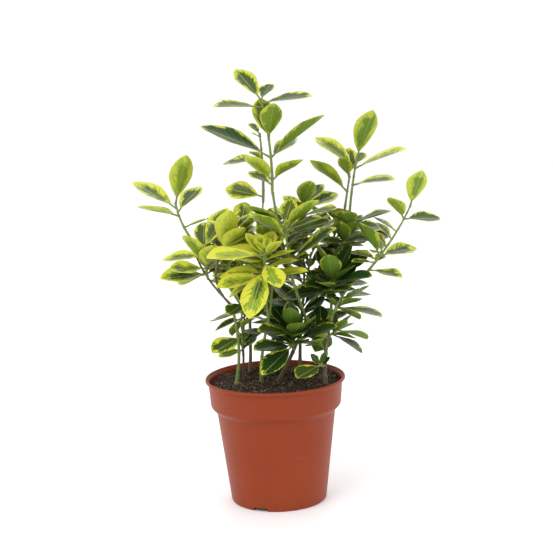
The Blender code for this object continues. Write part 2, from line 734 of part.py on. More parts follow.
class Mass:
    def __init__(self, name, shoot, trees):
        self.name = name
        self.shoot = shoot
        self.first = clear_share(shoot, STEM_RADII[0], trees)
        self.shapes = [limb_shape(shoot, self.first, STEM_RADII, STEM_SIDES, STEM_RINGS)]
        self.trees = [tree_of(self.shapes[0])]
        self.outside = []

    # Adds the leaf if nothing is in its way, turned a little where that helps
    def add_leaf(self, row, nudges, others, marked):
        rise, turn, lift, length, *pull = row
        reach = (place_on(self.shoot, 1) - start_of(self.shoot)).length
        share = min(max(rise, self.first + FIRST_LEAF / reach), LAST_LEAF_SHARE)
        base, stem_heading = place_on(self.shoot, share), heading(self.shoot, share)
        for turned_by, lifted_by, grown_by in nudges:
            tried = (share, turn + turned_by, lift + lifted_by, length * grown_by, *pull)
            guarded = leaf_shape(base, stem_heading, tried, marked, grown=GUARD)
            tip = guarded[0][-1]
            if not marked:
                off = (tip.xy - Vector(CROWN_MIDDLE)).length
                if off > half_crown(tip.z + CROWN_FALL * tip.y):
                    continue
            if any(tree_of(guarded).overlap(tree) for tree in others):
                continue
            outside = leaf_shape(base, stem_heading, tried, marked, first=STEM_RADII[0] + LEAF_OUTSIDE)
            blade = tree_of(outside)
            if any(blade.overlap(tree) for tree in self.outside) or self.crosses_stem(outside):
                continue
            self.shapes.append(leaf_shape(base, stem_heading, tried, marked))
            self.trees.append(tree_of(self.shapes[-1]))
            self.outside.append(blade)
            return True
        return False

    def crosses_stem(self, outside):
        blade_points, blade_faces = outside
        return bool(tree_of((blade_points, blade_faces[4:])).overlap(self.trees[0]))

    # One Boolean union joins the stem and its leaves
    def build(self):
        pieces = bpy.data.collections.new(self.name + "_pieces")
        bpy.context.scene.collection.children.link(pieces)
        joined = solid(self.name, *self.shapes[0], "leaf")
        for number, shape in enumerate(self.shapes[1:]):
            solid(f"{self.name}_leaf_{number}", *shape, "leaf", pieces)
        union = joined.modifiers.new("join", "BOOLEAN")
        union.operation = "UNION"
        union.operand_type = "COLLECTION"
        union.collection = pieces
        union.solver = "EXACT"
        if self.shapes[1:]:
            apply_modifiers(joined)
        for piece in list(pieces.objects):
            bpy.data.objects.remove(piece, do_unlink=True)
        bpy.data.collections.remove(pieces)
        keep_outer_body(joined)
        smooth(joined, 50)


# Fills any hollow that the union sealed and drops loose scrap
def keep_outer_body(obj):
    mesh = bmesh.new()
    mesh.from_mesh(obj.data)
    bodies = []
    left = set(mesh.verts)
    while left:
        body, edge = set(), [left.pop()]
        while edge:
            vertex = edge.pop()
            body.add(vertex)
            for link in vertex.link_edges:
                other = link.other_vert(vertex)
                if other in left:
                    left.remove(other)
                    edge.append(other)
        bodies.append(body)
    bodies.sort(key=len)
    scrap = [vertex for body in bodies[:-1] for vertex in body]
    if scrap:
        print(obj.name, "drops", len(bodies) - 1, "bodies of", [len(body) for body in bodies[:-1]])
    bmesh.ops.delete(mesh, geom=scrap, context="VERTS")
    mesh.to_mesh(obj.data)
    mesh.free()


def build_foliage(limb_trees):
    masses = [Mass(name, shoot, limb_trees) for name, shoot in SHOOTS.items()]
    for mass in masses:
        for other in masses:
            if other is not mass and mass.trees[0].overlap(other.trees[0]):
                print("stems touch:", mass.name, other.name)
        if any(mass.trees[0].overlap(tree) for tree in limb_trees):
            print("stem touches a limb:", mass.name)

    def others(mass):
        return limb_trees + [tree for other in masses if other is not mass for tree in other.trees]

    for mass in masses:
        for number, row in enumerate(mass.shoot["leaves"]):
            if not mass.add_leaf(row, NUDGES, others(mass), True):
                print(mass.name, "has no room for leaf", number)
    for mass in masses:
        draw = random.Random(mass.shoot["seed"])
        for row in seeded_rows(mass.shoot, draw):
            mass.add_leaf(row, loose_nudges(draw), others(mass), False)
    print("leaves:", sum(len(mass.shapes) - 1 for mass in masses))
    for mass in masses:
        mass.build()


clear_scene()
build_pot()
build_soil()
build_foliage(build_limbs())
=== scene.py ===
import json
import math
import random

import bpy
from mathutils import Matrix, Vector
from mathutils.bvhtree import BVHTree

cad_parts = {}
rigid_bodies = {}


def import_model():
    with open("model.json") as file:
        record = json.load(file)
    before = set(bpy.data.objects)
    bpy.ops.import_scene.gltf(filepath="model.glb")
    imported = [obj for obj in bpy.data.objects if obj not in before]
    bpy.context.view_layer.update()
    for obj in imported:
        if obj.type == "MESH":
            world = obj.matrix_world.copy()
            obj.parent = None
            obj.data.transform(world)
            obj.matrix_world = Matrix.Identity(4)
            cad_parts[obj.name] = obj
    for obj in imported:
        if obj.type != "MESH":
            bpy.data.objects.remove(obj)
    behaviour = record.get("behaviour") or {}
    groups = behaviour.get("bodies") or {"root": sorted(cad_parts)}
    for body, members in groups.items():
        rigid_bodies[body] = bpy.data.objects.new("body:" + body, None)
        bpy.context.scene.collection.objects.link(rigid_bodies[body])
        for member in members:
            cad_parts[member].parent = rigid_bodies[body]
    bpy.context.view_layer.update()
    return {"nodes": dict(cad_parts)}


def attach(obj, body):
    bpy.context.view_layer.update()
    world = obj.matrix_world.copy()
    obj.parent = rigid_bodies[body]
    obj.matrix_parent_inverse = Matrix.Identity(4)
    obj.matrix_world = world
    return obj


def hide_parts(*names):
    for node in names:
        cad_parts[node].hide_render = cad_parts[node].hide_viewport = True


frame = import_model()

# Young variegated Japanese spindle in a terracotta-coloured nursery pot, dressed on its fixed solids.
# Tables hold millimetres and degrees; mm turns them into metres. +Z is up and -Y is the front.
mm = 0.001
up = Vector((0, 0, 1))
print("frame loaded:", len(frame["nodes"]), "nodes")

pot = {
    "height": 108.0, "wall": 1.2, "steps": 192, "rounding": 0.4, "sharpAngle": 40,
    "lipRadius": 60.0, "collarRadius": 57.4, "collarFootRadius": 55.9, "collarFootHeight": 84.0,
    "bodyTopRadius": 50.8, "bodyTopHeight": 79.0, "baseRadius": 41.0, "baseThickness": 1.8,
    "notchCount": 3, "notchFirstTurn": -113.0, "notchWidth": 13.0, "notchDepth": 9.0, "notchHeight": 3.0,
    "notchRounding": 0.8, "notchBeyond": 4.0, "notchFloor": 1.0,
}
soil = {
    "level": 104.0, "radius": 56.6, "rings": 90, "steps": 260, "seed": 5, "depth": 9, "footRadius": 55.2,
    "waves": ((0.9, 0.12), (0.7, 0.3), (0.5, 0.7), (0.4, 1.3), (0.28, 2.4)), "wavesOfEach": 5,
    "sink": 0.6, "roughness": 0.25, "edgeStart": 50, "edgeWidth": 6, "edgeDrop": 1.2,
    "crumbMargin": 3, "crumbStretch": ((0.6, 1.2), (0.6, 1.2), (0.4, 0.9)), "crumbRise": 0.25,
    "fibres": 240, "fibreLength": (2.5, 8.0), "fibreRadius": 0.14, "fibrePoints": 5, "fibreArch": 1.1,
    "fibreMargin": 4, "fibreBend": 0.5, "fibreRise": 0.5, "wallMargin": 2.5,
}
# Cane, bough and stem: sides and rings
growth = {
    "gap": 0.3, "cane": (8, 8), "bough": (6, 6), "stem": (6, 4), "stemRadii": (1.2, 0.7),
    "rootFlare": 0.55, "rootFlareHeight": 6.0,
    "cutPoints": 8, "cutStep": 0.002, "cutLast": 0.9, "cutMargin": 1.15, "nearBy": 4.0,
}
leaf = {
    "petioleShare": 0.13, "petioleRadius": 0.75, "thickness": 0.9, "fold": 0.30, "drop": 0.5, "arch": 0.04,
    "stations": ((0.28, 0.74), (0.60, 1.0), (0.86, 0.62)), "widest": 0.68, "widthOfShortest": 0.86,
    "widthFall": 0.006, "skyPull": 0.75, "stemPull": 0.45, "frontPull": 0.35, "backPull": 0.7,
    "looksBack": 0.25, "inside": 0.3, "outside": 1.0, "first": 2.5, "lastShare": 0.985,
    "liftLow": 8, "liftHigh": 48, "sizes": (0.8, 1.1), "turnSpread": 12, "liftSpread": 8,
}
# Leaves without a place of their own: the loose ones of the solids, then finer ones between them
loose = {
    "seed": 0, "size": 1, "guard": 0.35, "tries": 28, "turn": (-35, 35), "lift": (-20, 20), "sizes": (0.7, 1),
}
finer = {
    "seed": 500, "size": 0.8, "guard": 0.1, "tries": 12, "turn": (-40, 40), "lift": (-20, 25),
    "sizes": (0.6, 1), "pairs": 7,
}
crown = {
    "middle": (17, 18), "fall": 0.18,
    "space": ((105, 42), (145, 58), (187, 76), (217, 83), (245, 74), (258, 44)),
}
nudges = [(turn, lift, size) for size in (1.0, 0.9, 0.8)
          for lift in (0, 6, -6, 12, -12) for turn in (0, 7, -7, 14, -14, 21, -21)]

# A cane: where it stands on the soil, its tip, the bow of its middle, its radii and its skin
canes = {
    "cane_front": ((3, -4), (28, -8, 158), (1, 0, 0), (2.3, 1.9), "bark"),
    "cane_middle": ((-12, -7), (-4, -20, 160), (-2, -1, 0), (1.9, 1.6), "green"),
    "cane_left": ((-33, -8), (-35, -8, 173), (4, 0, 0), (1.9, 1.5), "green"),
    "cane_left_thin": ((-27, 6), (-23, 0, 176), (-1, 1, 0), (1.4, 1), "bark"),
    "cane_right": ((42, -20), (49, -12, 159), (-2, 0, 0), (2.4, 2), "bark"),
    "cane_back_left": ((-22, 26), (-21, 24, 172), (1, 0, 0), (2, 1.6), "bark"),
    "cane_back_right": ((22, 30), (27, 28, 172), (-1, 1, 0), (2.1, 1.7), "bark"),
    "cane_back": ((-3, 40), (-2, 46, 176), (2, 0, 0), (2.1, 1.7), "bark"),
}
# A bough: the limb that it leaves and at what share of its length, then as a cane
boughs = {
    "bough_top": ("cane_front", 1, (3, -24, 271), (-3, -6, 0), (1.9, 1.4), "green"),
    "bough_middle": ("cane_middle", 1, (-6, -34, 193), (0, 0, 0), (1.5, 1.2), "green"),
    "bough_centre": ("cane_middle", 0.97, (0, -13, 192), (1, 1, 0), (1.3, 1.1), "green"),
    "bough_far_left": ("cane_left", 1, (-67, 14, 226), (-6, 0, 0), (1.4, 1), "bark"),
    "bough_left": ("cane_left", 0.98, (-42, -16, 216), (-8, 0, 0), (1.4, 1.1), "bark"),
    "bough_right": ("cane_right", 1, (68, 26, 235), (-4.5, 2, 0), (1.8, 1.3), "green"),
    "bough_right_twin": ("bough_right", 0.55, (64, 33, 240), (-2, 1, 0), (1.1, 0.9), "green"),
    "bough_far_right": ("cane_right", 0.98, (79, -14, 197), (-3, 0, 3.5), (1.6, 1.3), "green"),
    "bough_centre_left": ("cane_back_left", 1, (-26, 12, 206), (-1, 0, 0), (1.4, 1.2), "green"),
    "bough_centre_back": ("cane_back_right", 1, (27, 18, 218), (1, 0, 0), (1.5, 1.2), "green"),
    "bough_top_back": ("cane_back_left", 0.98, (-5, 14, 258), (2, 3, 0), (1.2, 0.9), "green"),
    "bough_back_left": ("cane_back", 0.98, (-40, 60, 206), (-2, 1, -3), (1.5, 1.2), "green"),
    "bough_back_right": ("cane_back_right", 0.98, (52, 58, 208), (1, 0, -3), (1.5, 1.2), "green"),
    "bough_back": ("cane_back", 1, (4, 66, 218), (0, 0, 0), (1.5, 1.2), "green"),
}
limbs = {name: dict(zip(("foot", "tip", "bow", "radii", "skin"), row)) for name, row in canes.items()}
for name, row in boughs.items():
    limbs[name] = dict(zip(("parent", "at", "tip", "bow", "radii", "skin"), row))

# A shoot: parent limb and share, tip, bow, seed, pairs of loose leaves, their length, how lime the leaves
# are, where the loose ones face, their span of the stem, and the leaves that have a place of their own,
# each with its share of the stem, turn, lift and length, and some with a pull towards the front
shootKeys = ("parent", "at", "tip", "bow", "seed", "pairs", "leaf", "lime", "face", "span", "leaves")
shootRows = {
    "crown_top": ("bough_top", 1, (-4, -15, 345), (2.5, -1.5, 0), 11, 3, 34, 0.4, "back", (0, 0.5), (
        (1, 135, 40, 38), (1, 65, 30, 24), (0.9, -155, 5, 44), (0.95, -20, 5, 44), (0.55, -75, 60, 36),
        (0.55, 105, 55, 40), (0.35, 170, 25, 64), (0.35, -25, 35, 60), (0.35, 45, 25, 34),
        (0.1, -45, 30, 40), (0.1, -130, 35, 38), (0.05, 135, 20, 28),
    )),
    "crown_top_back": (
        "bough_top_back", 1, (-6, 12, 315), (1, 0, 0), 12, 2, 24, 0.45, "back", (0.05, 0.5), (
        (1, 130, 35, 16), (0.95, -140, 20, 10), (0.6, -130, 30, 18), (0.6, 155, -5, 38),
        (0, 155, 10, 36, -1.4),
    )),
    "crown_front": ("bough_top", 0.34, (12, -36, 242), (0, -5, 0), 13, 3, 38, 0.38, "back", (0.25, 0.9), (
        (0.3, -30, 35, 54), (0.3, -155, 0, 60), (0.8, 25, 10, 54), (0.8, -145, 35, 42),
        (0.95, -145, 30, 46), (0.95, -40, 35, 44), (0.9, -35, 20, 38), (1, 75, 50, 28), (1, 95, 45, 24),
    )),
    "crown_middle": ("bough_middle", 1, (-5, -42, 224), (0, -2, 0), 14, 3, 38, 0.9, "back", (0.1, 0.9), (
        (0.85, -145, 5, 56), (0.85, -45, 35, 24), (1, -135, 35, 14), (1, 65, 40, 14), (0.65, -70, -25, 38),
        (0.5, -110, -40, 52), (0.4, 150, -10, 44), (0.3, -140, -10, 42), (0.3, 155, -30, 40),
    )),
    "crown_centre": ("bough_centre", 1, (2, -2, 226), (0, 0, 0), 15, 5, 40, 0.36, "all", (0, 1), ()),
    "crown_far_left": (
        "bough_far_left", 1, (-80, 22, 257), (-2, 0, 0), 16, 1, 34, 0.46, "back", (0.3, 0.9), (
        (1, -50, 65, 46), (0.75, 55, 30, 38), (0.85, 150, 25, 50), (0.65, -145, 15, 42),
    )),
    "crown_left": (
        "bough_far_left", 0.42, (-56, -12, 221), (0, -3, 0), 17, 3, 36, 0.62, "back", (0.1, 0.95), (
        (0.1, -150, 0, 44), (0.1, 155, -20, 30), (0.35, -145, 5, 36), (0.75, 160, -5, 42),
        (0.1, -60, 30, 30), (0.35, -80, 55, 34), (0.45, -105, 50, 40), (0.95, 90, 45, 32), (1, 60, 45, 44),
    )),
    "crown_left_upper": ("bough_left", 1, (-35, -14, 239), (0, 0, 0), 18, 4, 38, 0.78, "all", (0, 1), (
        (0.2, -60, 65, 40), (0.6, -140, 35, 38), (0.15, -45, 40, 36), (0, 115, 25, 30),
    )),
    "crown_centre_left": (
        "bough_centre_left", 1, (-25, 6, 235), (0, 0, 0), 19, 4, 38, 0.7, "all", (0, 0.8), (
        (1, -120, 50, 36), (1, 80, 40, 32), (0.95, -50, 30, 20), (0.75, 40, 5, 30),
    )),
    "crown_centre_back": (
        "bough_centre_back", 1, (28, 12, 252), (0, 0, 0), 20, 4, 38, 0.45, "all", (0, 0.8), (
        (0.95, -70, 50, 32), (0.9, 35, 15, 40), (0.75, -40, 5, 38), (0.8, 135, 35, 26), (1, 40, 35, 30),
    )),
    "crown_right": ("bough_right", 1, (77, 32, 292), (-1, 0, 0), 21, 2, 38, 0.48, "back", (0.55, 0.95), (
        (0.95, -45, 65, 46), (0.8, 145, 35, 48), (0.8, -25, 20, 50), (0.55, -30, 10, 40),
        (0.85, 60, 30, 20),
    )),
    "crown_right_twin": (
        "bough_right_twin", 1, (70, 36, 274), (0, 0, 0), 22, 1, 30, 0.48, "back", (0.8, 0.95), (
        (0.6, -155, 40, 46), (0.95, -120, 55, 24), (1, 85, 65, 28),
    )),
    "crown_right_inner": ("bough_right", 0.68, (69, 12, 236), (2, -2, 0), 23, 4, 38, 0.2, "all", (0, 1), (
        (0.35, 15, 5, 42), (0.95, -30, 20, 40), (0.25, -100, 55, 28), (0.75, 30, 0, 34),
        (0.15, -120, 15, 28),
    )),
    "crown_right_middle": (
        "bough_right", 0.2, (52, -14, 195), (0, -2, 0), 24, 4, 38, 0.08, "all", (0.2, 1), (
        (0.65, -80, 60, 36), (0.8, 65, 30, 38), (0.7, -45, 15, 44), (0.45, -140, 15, 32),
        (0.4, 160, -10, 46), (0.95, 50, 25, 42),
    )),
    "crown_far_right": (
        "bough_far_right", 1, (117, -16, 253), (3, 0, 0), 25, 2, 34, 0.42, "back", (0.1, 0.9), (
        (1, -50, 65, 34), (0.8, -125, 45, 30), (0.8, 20, -5, 34), (0.25, -150, 60, 36), (0.25, 30, 5, 38),
        (0.2, 140, 10, 28), (0, -40, -5, 34),
    )),
    "crown_right_low": (
        "bough_far_right", 0.12, (60, 2, 176), (1, 0, 0), 26, 3, 36, 0.12, "all", (0.2, 1), (
        (0.15, -35, -5, 44), (0.35, -65, 30, 28), (0.05, 40, -30, 30), (0.85, 40, -5, 34),
        (0.15, 130, 5, 30),
    )),
    "spray_right_low": ("cane_right", 0.72, (54, -4, 147), (0, 0, 0), 27, 1, 32, 0.06, "back", (0.5, 1), (
        (1, 40, -20, 38), (0.4, -40, 0, 26), (0, -40, -20, 34), (0.1, 120, -35, 34),
    )),
    "spray_right_foot": (
        "cane_right", 0.28, (38, -26, 122), (0, 0, 0), 28, 0, 20, 0.06, "back", (0.5, 1), (
        (1, -125, -5, 36),
    )),
    "spray_middle_low": (
        "cane_front", 0.5, (17, -18, 150), (-1, -2, 0), 29, 5, 40, 0.05, "all", (0.1, 1), (
        (0, -150, 5, 46), (0.85, -135, 15, 42), (1, 125, 30, 34), (0, -135, -25, 42),
    )),
    "spray_left_low": (
        "cane_left_thin", 0.55, (-24, -10, 174), (-2, -3, 0), 30, 3, 32, 0.14, "all", (0.1, 1), (
        (1, -115, -5, 30), (0.95, 160, -10, 36), (0.75, 155, -20, 42), (0.55, 155, -25, 30),
        (0.55, 130, -50, 22), (0.5, -85, 50, 30),
    )),
    "spray_left_foot": (
        "cane_left_thin", 0.3, (-27, -12, 146), (0, -2, 0), 31, 1, 24, 0.34, "back", (0.3, 1), (
        (1, -130, -10, 38), (0.3, -150, -10, 22),
    )),
    "crown_right_centre": (
        "cane_back_right", 0.9, (34, 2, 214), (0, 0, -2), 45, 6, 38, 0.1, "all", (0.15, 1), ()),
    "spray_right_middle": (
        "cane_right", 0.5, (34, -8, 146), (0, 0, 0), 46, 5, 36, 0.06, "all", (0.15, 1), ()),
    "crown_left_back": (
        "cane_back_left", 0.9, (-52, 42, 212), (-3, 2, -3), 47, 6, 40, 0.42, "all", (0.3, 1), ()),
    "crown_right_back": (
        "cane_back_right", 0.75, (60, 44, 196), (3, 2, -3), 48, 6, 40, 0.2, "all", (0.3, 1), ()),
    "crown_low_back": (
        "cane_back_right", 0.5, (26, 8, 168), (0, 0, -2), 32, 7, 40, 0.1, "all", (0.05, 1), ()),
    "crown_back_left": ("bough_back_left", 1, (-56, 78, 236), (0, 0, 0), 33, 7, 40, 0.42, "all", (0, 1), ()),
    "crown_back_right": (
        "bough_back_right", 1, (66, 74, 240), (0, 0, 0), 34, 7, 40, 0.34, "all", (0, 1), ()),
    "crown_back": ("bough_back", 1, (6, 80, 244), (0, 0, 0), 35, 7, 40, 0.45, "all", (0, 1), ()),
    "crown_back_low": ("cane_back", 0.45, (-4, 66, 164), (0, 0, -2), 36, 7, 38, 0.12, "all", (0.1, 1), ()),
}
shoots = {name: dict(zip(shootKeys, row)) for name, row in shootRows.items()}

# The growth rule is the one of the solids, so that the same leaves find room; a limb bends over its knee
def lineOf(limb):
    tip = Vector(limb["tip"])
    if "foot" in limb:
        start = Vector((*limb["foot"], soil["level"] + growth["gap"]))
    else:
        start = placeOn(limbs[limb["parent"]], limb["at"])
    return start, (start + tip) / 2 + 2 * Vector(limb["bow"]), tip


def placeOn(limb, share):
    start, knee, tip = lineOf(limb)
    return start * (1 - share) ** 2 + knee * (2 * share * (1 - share)) + tip * share ** 2


def heading(limb, share):
    start, knee, tip = lineOf(limb)
    return ((knee - start) * (1 - share) + (tip - knee) * share).normalized()


def lengthOf(limb):
    start, _, tip = lineOf(limb)
    return (tip - start).length


def ringRound(middle, direction, side, radius, count):
    across = (side - direction * side.dot(direction)).normalized()
    other = direction.cross(across)
    angles = [2 * math.pi * i / count for i in range(count)]
    return [middle + (across * math.cos(a) + other * math.sin(a)) * radius for a in angles], across


def radiusAt(limb, radii, share, middle):
    radius = radii[0] + (radii[1] - radii[0]) * share
    if "foot" in limb:
        above = (middle.z - soil["level"]) / growth["rootFlareHeight"]
        radius *= 1 + growth["rootFlare"] * math.exp(-above)
    return radius


# Faces of a tube from ring to ring, closed at both ends
def tubeFaces(rings, sides):
    faces = [tuple(range(sides))[::-1], tuple(range((rings - 1) * sides, rings * sides))]
    for low in range(0, (rings - 1) * sides, sides):
        for k in range(sides):
            after = low + (k + 1) % sides
            faces.append((low + k, after, after + sides, low + k + sides))
    return faces


def limbShape(limb, firstShare, radii, size):
    sides, rings = size
    points = []
    side = Vector((1, 0, 0))
    onSoil = "foot" in limb
    for i in range(rings):
        share = firstShare + (1 - firstShare) * (i / (rings - 1)) ** (2 if onSoil else 1)
        middle, direction = placeOn(limb, share), heading(limb, share)
        if onSoil:
            above = (middle.z - soil["level"]) / growth["rootFlareHeight"]
            direction = up.lerp(direction, min(above, 1) if i else 0)
        ring, side = ringRound(middle, direction, side, radiusAt(limb, radii, share, middle), sides)
        points += ring
    return points, tubeFaces(rings, sides)


def treeOf(shape):
    return BVHTree.FromPolygons(*shape)


def touches(shape, trees):
    own = treeOf(shape)
    return any(own.overlap(tree) for tree in trees)


def isClear(point, trees, gap):
    for tree in trees:
        place, normal, _, distance = tree.find_nearest(point, growth["nearBy"])
        if place and (distance < gap or (point - place).dot(normal) < 0):
            return False
    return True


# Share of a line at which a flat cut of this radius first stands clear of what is there
def clearShare(limb, radius, trees):
    share = 0.0
    while share < growth["cutLast"]:
        middle, direction = placeOn(limb, share), heading(limb, share)
        ring, _ = ringRound(middle, direction, Vector((1, 0, 0)), radius, growth["cutPoints"])
        if all(isClear(point, trees, growth["gap"] * growth["cutMargin"]) for point in [middle, *ring]):
            return share
        share += growth["cutStep"]
    return share


def squareTo(wish, along):
    return (wish - along * wish.dot(along)).normalized()


# How a leaf lies: its base, its three directions and its sizes
def leafPose(base, stemHeading, row, facesFront):
    _, turn, lift, length, *pull = row
    turn, lift = math.radians(turn), math.radians(lift)
    along = Vector((math.cos(lift) * math.cos(turn), math.cos(lift) * math.sin(turn), math.sin(lift)))
    upper = squareTo(up * leaf["skyPull"] + stemHeading * leaf["stemPull"], along)
    if facesFront:
        backward = leaf["backPull"] * math.sin(lift) ** 2
        natural = backward if upper.y > leaf["looksBack"] else -leaf["frontPull"]
        upper = squareTo(upper + Vector((0, pull[0] if pull else natural, 0)), along)
    blade = length * (1 - leaf["petioleShare"])
    width = min(leaf["widest"], leaf["widthOfShortest"] - leaf["widthFall"] * length)
    return {
        "base": base, "along": along, "upper": upper, "across": upper.cross(along), "length": length,
        "petiole": length * leaf["petioleShare"], "blade": blade, "halfWidth": blade * width / 2,
    }


def spineOf(pose, reach):
    share = reach / pose["length"]
    lift = leaf["arch"] * pose["length"] * 4 * share * (1 - share)
    return pose["base"] + pose["along"] * reach + pose["upper"] * lift


# The plain leaf of the solids, used to see which leaves find room
def plainLeaf(pose, first=-leaf["inside"], grown=0.0):
    upper, across = pose["upper"], pose["across"]
    points = [pose["base"] + pose["along"] * first]
    stations = [(pose["petiole"], leaf["petioleRadius"], 0.0, 2 * leaf["petioleRadius"])]
    for share, width in leaf["stations"]:
        half = pose["halfWidth"] * width
        reach = pose["petiole"] + pose["blade"] * share
        stations.append((reach, half, half * leaf["fold"], leaf["thickness"]))
    for reach, half, fold, thickness in stations:
        centre = spineOf(pose, reach) - upper * fold * leaf["drop"]
        half += grown
        thickness += 2 * grown
        points.append(centre - across * half + upper * fold)
        points.append(centre + upper * thickness / 2)
        points.append(centre + across * half + upper * fold)
        points.append(centre - upper * thickness / 2)
    points.append(spineOf(pose, pose["length"] + grown))
    faces = [(0, 1 + (k + 1) % 4, 1 + k) for k in range(4)]
    for i in range(len(stations) - 1):
        for k in range(4):
            low, high = 1 + 4 * i, 5 + 4 * i
            a, b, c, d = low + k, low + (k + 1) % 4, high + (k + 1) % 4, high + k
            faces += [(a, b, d), (b, c, d)] if k % 2 else [(a, b, c), (a, c, d)]
    last = len(points) - 1
    faces += [(last, last - 4 + k, last - 4 + (k + 1) % 4) for k in range(4)]
    return points, faces


def halfCrown(height):
    for (low, narrow), (high, wide) in zip(crown["space"], crown["space"][1:]):
        if low <= height <= high:
            return narrow + (wide - narrow) * (height - low) / (high - low)
    return 0.0


# Pairs of opposite leaves, each pair a quarter turn from the last
def seededRows(shoot, draw, kind):
    rows = []
    low, high = shoot["span"]
    pairs = kind.get("pairs", shoot["pairs"])
    turn = draw.uniform(0, 180)
    for pair in range(pairs):
        rise = low + (high - low) * (pair + 0.5) / pairs
        for side in (0, 180):
            toward = (turn + side + draw.gauss(0, leaf["turnSpread"]) + 180) % 360 - 180
            if shoot["face"] == "back":
                toward = abs(toward)
            lift = leaf["liftLow"] + (leaf["liftHigh"] - leaf["liftLow"]) * rise
            lift += draw.gauss(0, leaf["liftSpread"])
            rows.append((rise, toward, lift, shoot["leaf"] * kind["size"] * draw.uniform(*leaf["sizes"])))
        turn += 90
    return rows


# A shoot with its leaves; each leaf is kept only where nothing is in its way
class Mass:
    def __init__(self, name, shoot, trees):
        self.name = name
        self.shoot = shoot
        self.first = clearShare(shoot, growth["stemRadii"][0], trees)
        self.stem = treeOf(limbShape(shoot, self.first, growth["stemRadii"], growth["stem"]))
        self.trees = [self.stem]
        self.outside = []
        self.leaves = []

    def addLeaf(self, row, tried, others, marked, guard):
        rise, turn, lift, length, *pull = row
        share = min(max(rise, self.first + leaf["first"] / lengthOf(self.shoot)), leaf["lastShare"])
        base, stemHeading = placeOn(self.shoot, share), heading(self.shoot, share)
        for turnedBy, liftedBy, grownBy in tried:
            wanted = (share, turn + turnedBy, lift + liftedBy, length * grownBy, *pull)
            pose = leafPose(base, stemHeading, wanted, marked)
            guarded = plainLeaf(pose, grown=guard)
            tip = guarded[0][-1]
            off = (tip.xy - Vector(crown["middle"])).length
            if not marked and off > halfCrown(tip.z + crown["fall"] * tip.y):
                continue
            if touches(guarded, others):
                continue
            points, faces = plainLeaf(pose, first=growth["stemRadii"][0] + leaf["outside"])
            if touches((points, faces), self.outside) or touches((points, faces[4:]), [self.stem]):
                continue
            self.trees.append(treeOf(plainLeaf(pose)))
            self.outside.append(treeOf((points, faces)))
            self.leaves.append(pose)
            return


def growLeaves():
    limbTrees = []
    for limb in limbs.values():
        onSoil = "foot" in limb
        first = 0 if onSoil else clearShare(limb, limb["radii"][0], limbTrees)
        shape = limbShape(limb, first, limb["radii"], growth["cane" if onSoil else "bough"])
        limbTrees.append(treeOf(shape))
    masses = [Mass(name, shoot, limbTrees) for name, shoot in shoots.items()]

    def others(mass):
        return limbTrees + [tree for other in masses if other is not mass for tree in other.trees]

    for mass in masses:
        for row in mass.shoot["leaves"]:
            mass.addLeaf(row, nudges, others(mass), True, loose["guard"])
    for kind in (loose, finer):
        turns, lifts, sizes = kind["turn"], kind["lift"], kind["sizes"]
        for mass in masses:
            draw = random.Random(mass.shoot["seed"] + kind["seed"])
            for row in seededRows(mass.shoot, draw, kind):
                tried = [(draw.uniform(*turns), draw.uniform(*lifts), draw.uniform(*sizes))
                         for _ in range(kind["tries"])]
                mass.addLeaf(row, tried, others(mass), False, kind["guard"])
        print("leaves grown:", sum(len(mass.leaves) for mass in masses))
    return masses


def linked(name, data):
    made = bpy.data.objects.new(name, data)
    bpy.context.scene.collection.objects.link(made)
    return made


def smooth(mesh, angle):
    mesh.shade_smooth()
    mesh.set_sharp_from_angle(angle=math.radians(angle))


def meshPiece(name, points, faces, material, smoothAngle):
    mesh = bpy.data.meshes.new(name)
    mesh.from_pydata(points, [], faces)
    mesh.materials.append(material)
    smooth(mesh, smoothAngle)
    return linked(name, mesh)


def setValues(layer, key, rows):
    layer.data.foreach_set(key, [number for row in rows for number in row])


leafLook = {
    "rows": 11, "columns": 4, "thickness": 0.5, "slim": 0.92, "rowGather": 0.9, "foldCurve": 1.15,
    "widest": 0.56, "foot": 0.06, "wedge": 1.8, "oval": 1.85, "point": 0.82,
    "ripple": 0.05, "rippleTurns": 9, "rippleSlant": 1.5, "crenate": 0.012, "droop": 0.05, "twist": 0.12,
    "ribDepth": 0.22, "limeSpread": 0.14, "smoothAngle": 75,
}


# Half width of a blade at a share of its length: a wedge, then an oval end that comes to a point
def bladeOutline(share):
    widest, foot = leafLook["widest"], leafLook["foot"]
    if share < widest:
        return foot + (1 - foot) * (1 - (1 - share / widest) ** leafLook["wedge"])
    return max(0, 1 - ((share - widest) / (1 - widest)) ** leafLook["oval"]) ** leafLook["point"]


# Rows stand closer towards the tip
def rowShare(row):
    return math.sin(math.pi / 2 * (row / leafLook["rows"])) ** leafLook["rowGather"]


# A point's place in its cell of the bake map: the upper side left, the under side right
def cellPlace(share, t, side):
    return (0.25 + 0.23 * bladeOutline(share) * t + 0.5 * side, 0.02 + 0.96 * share)


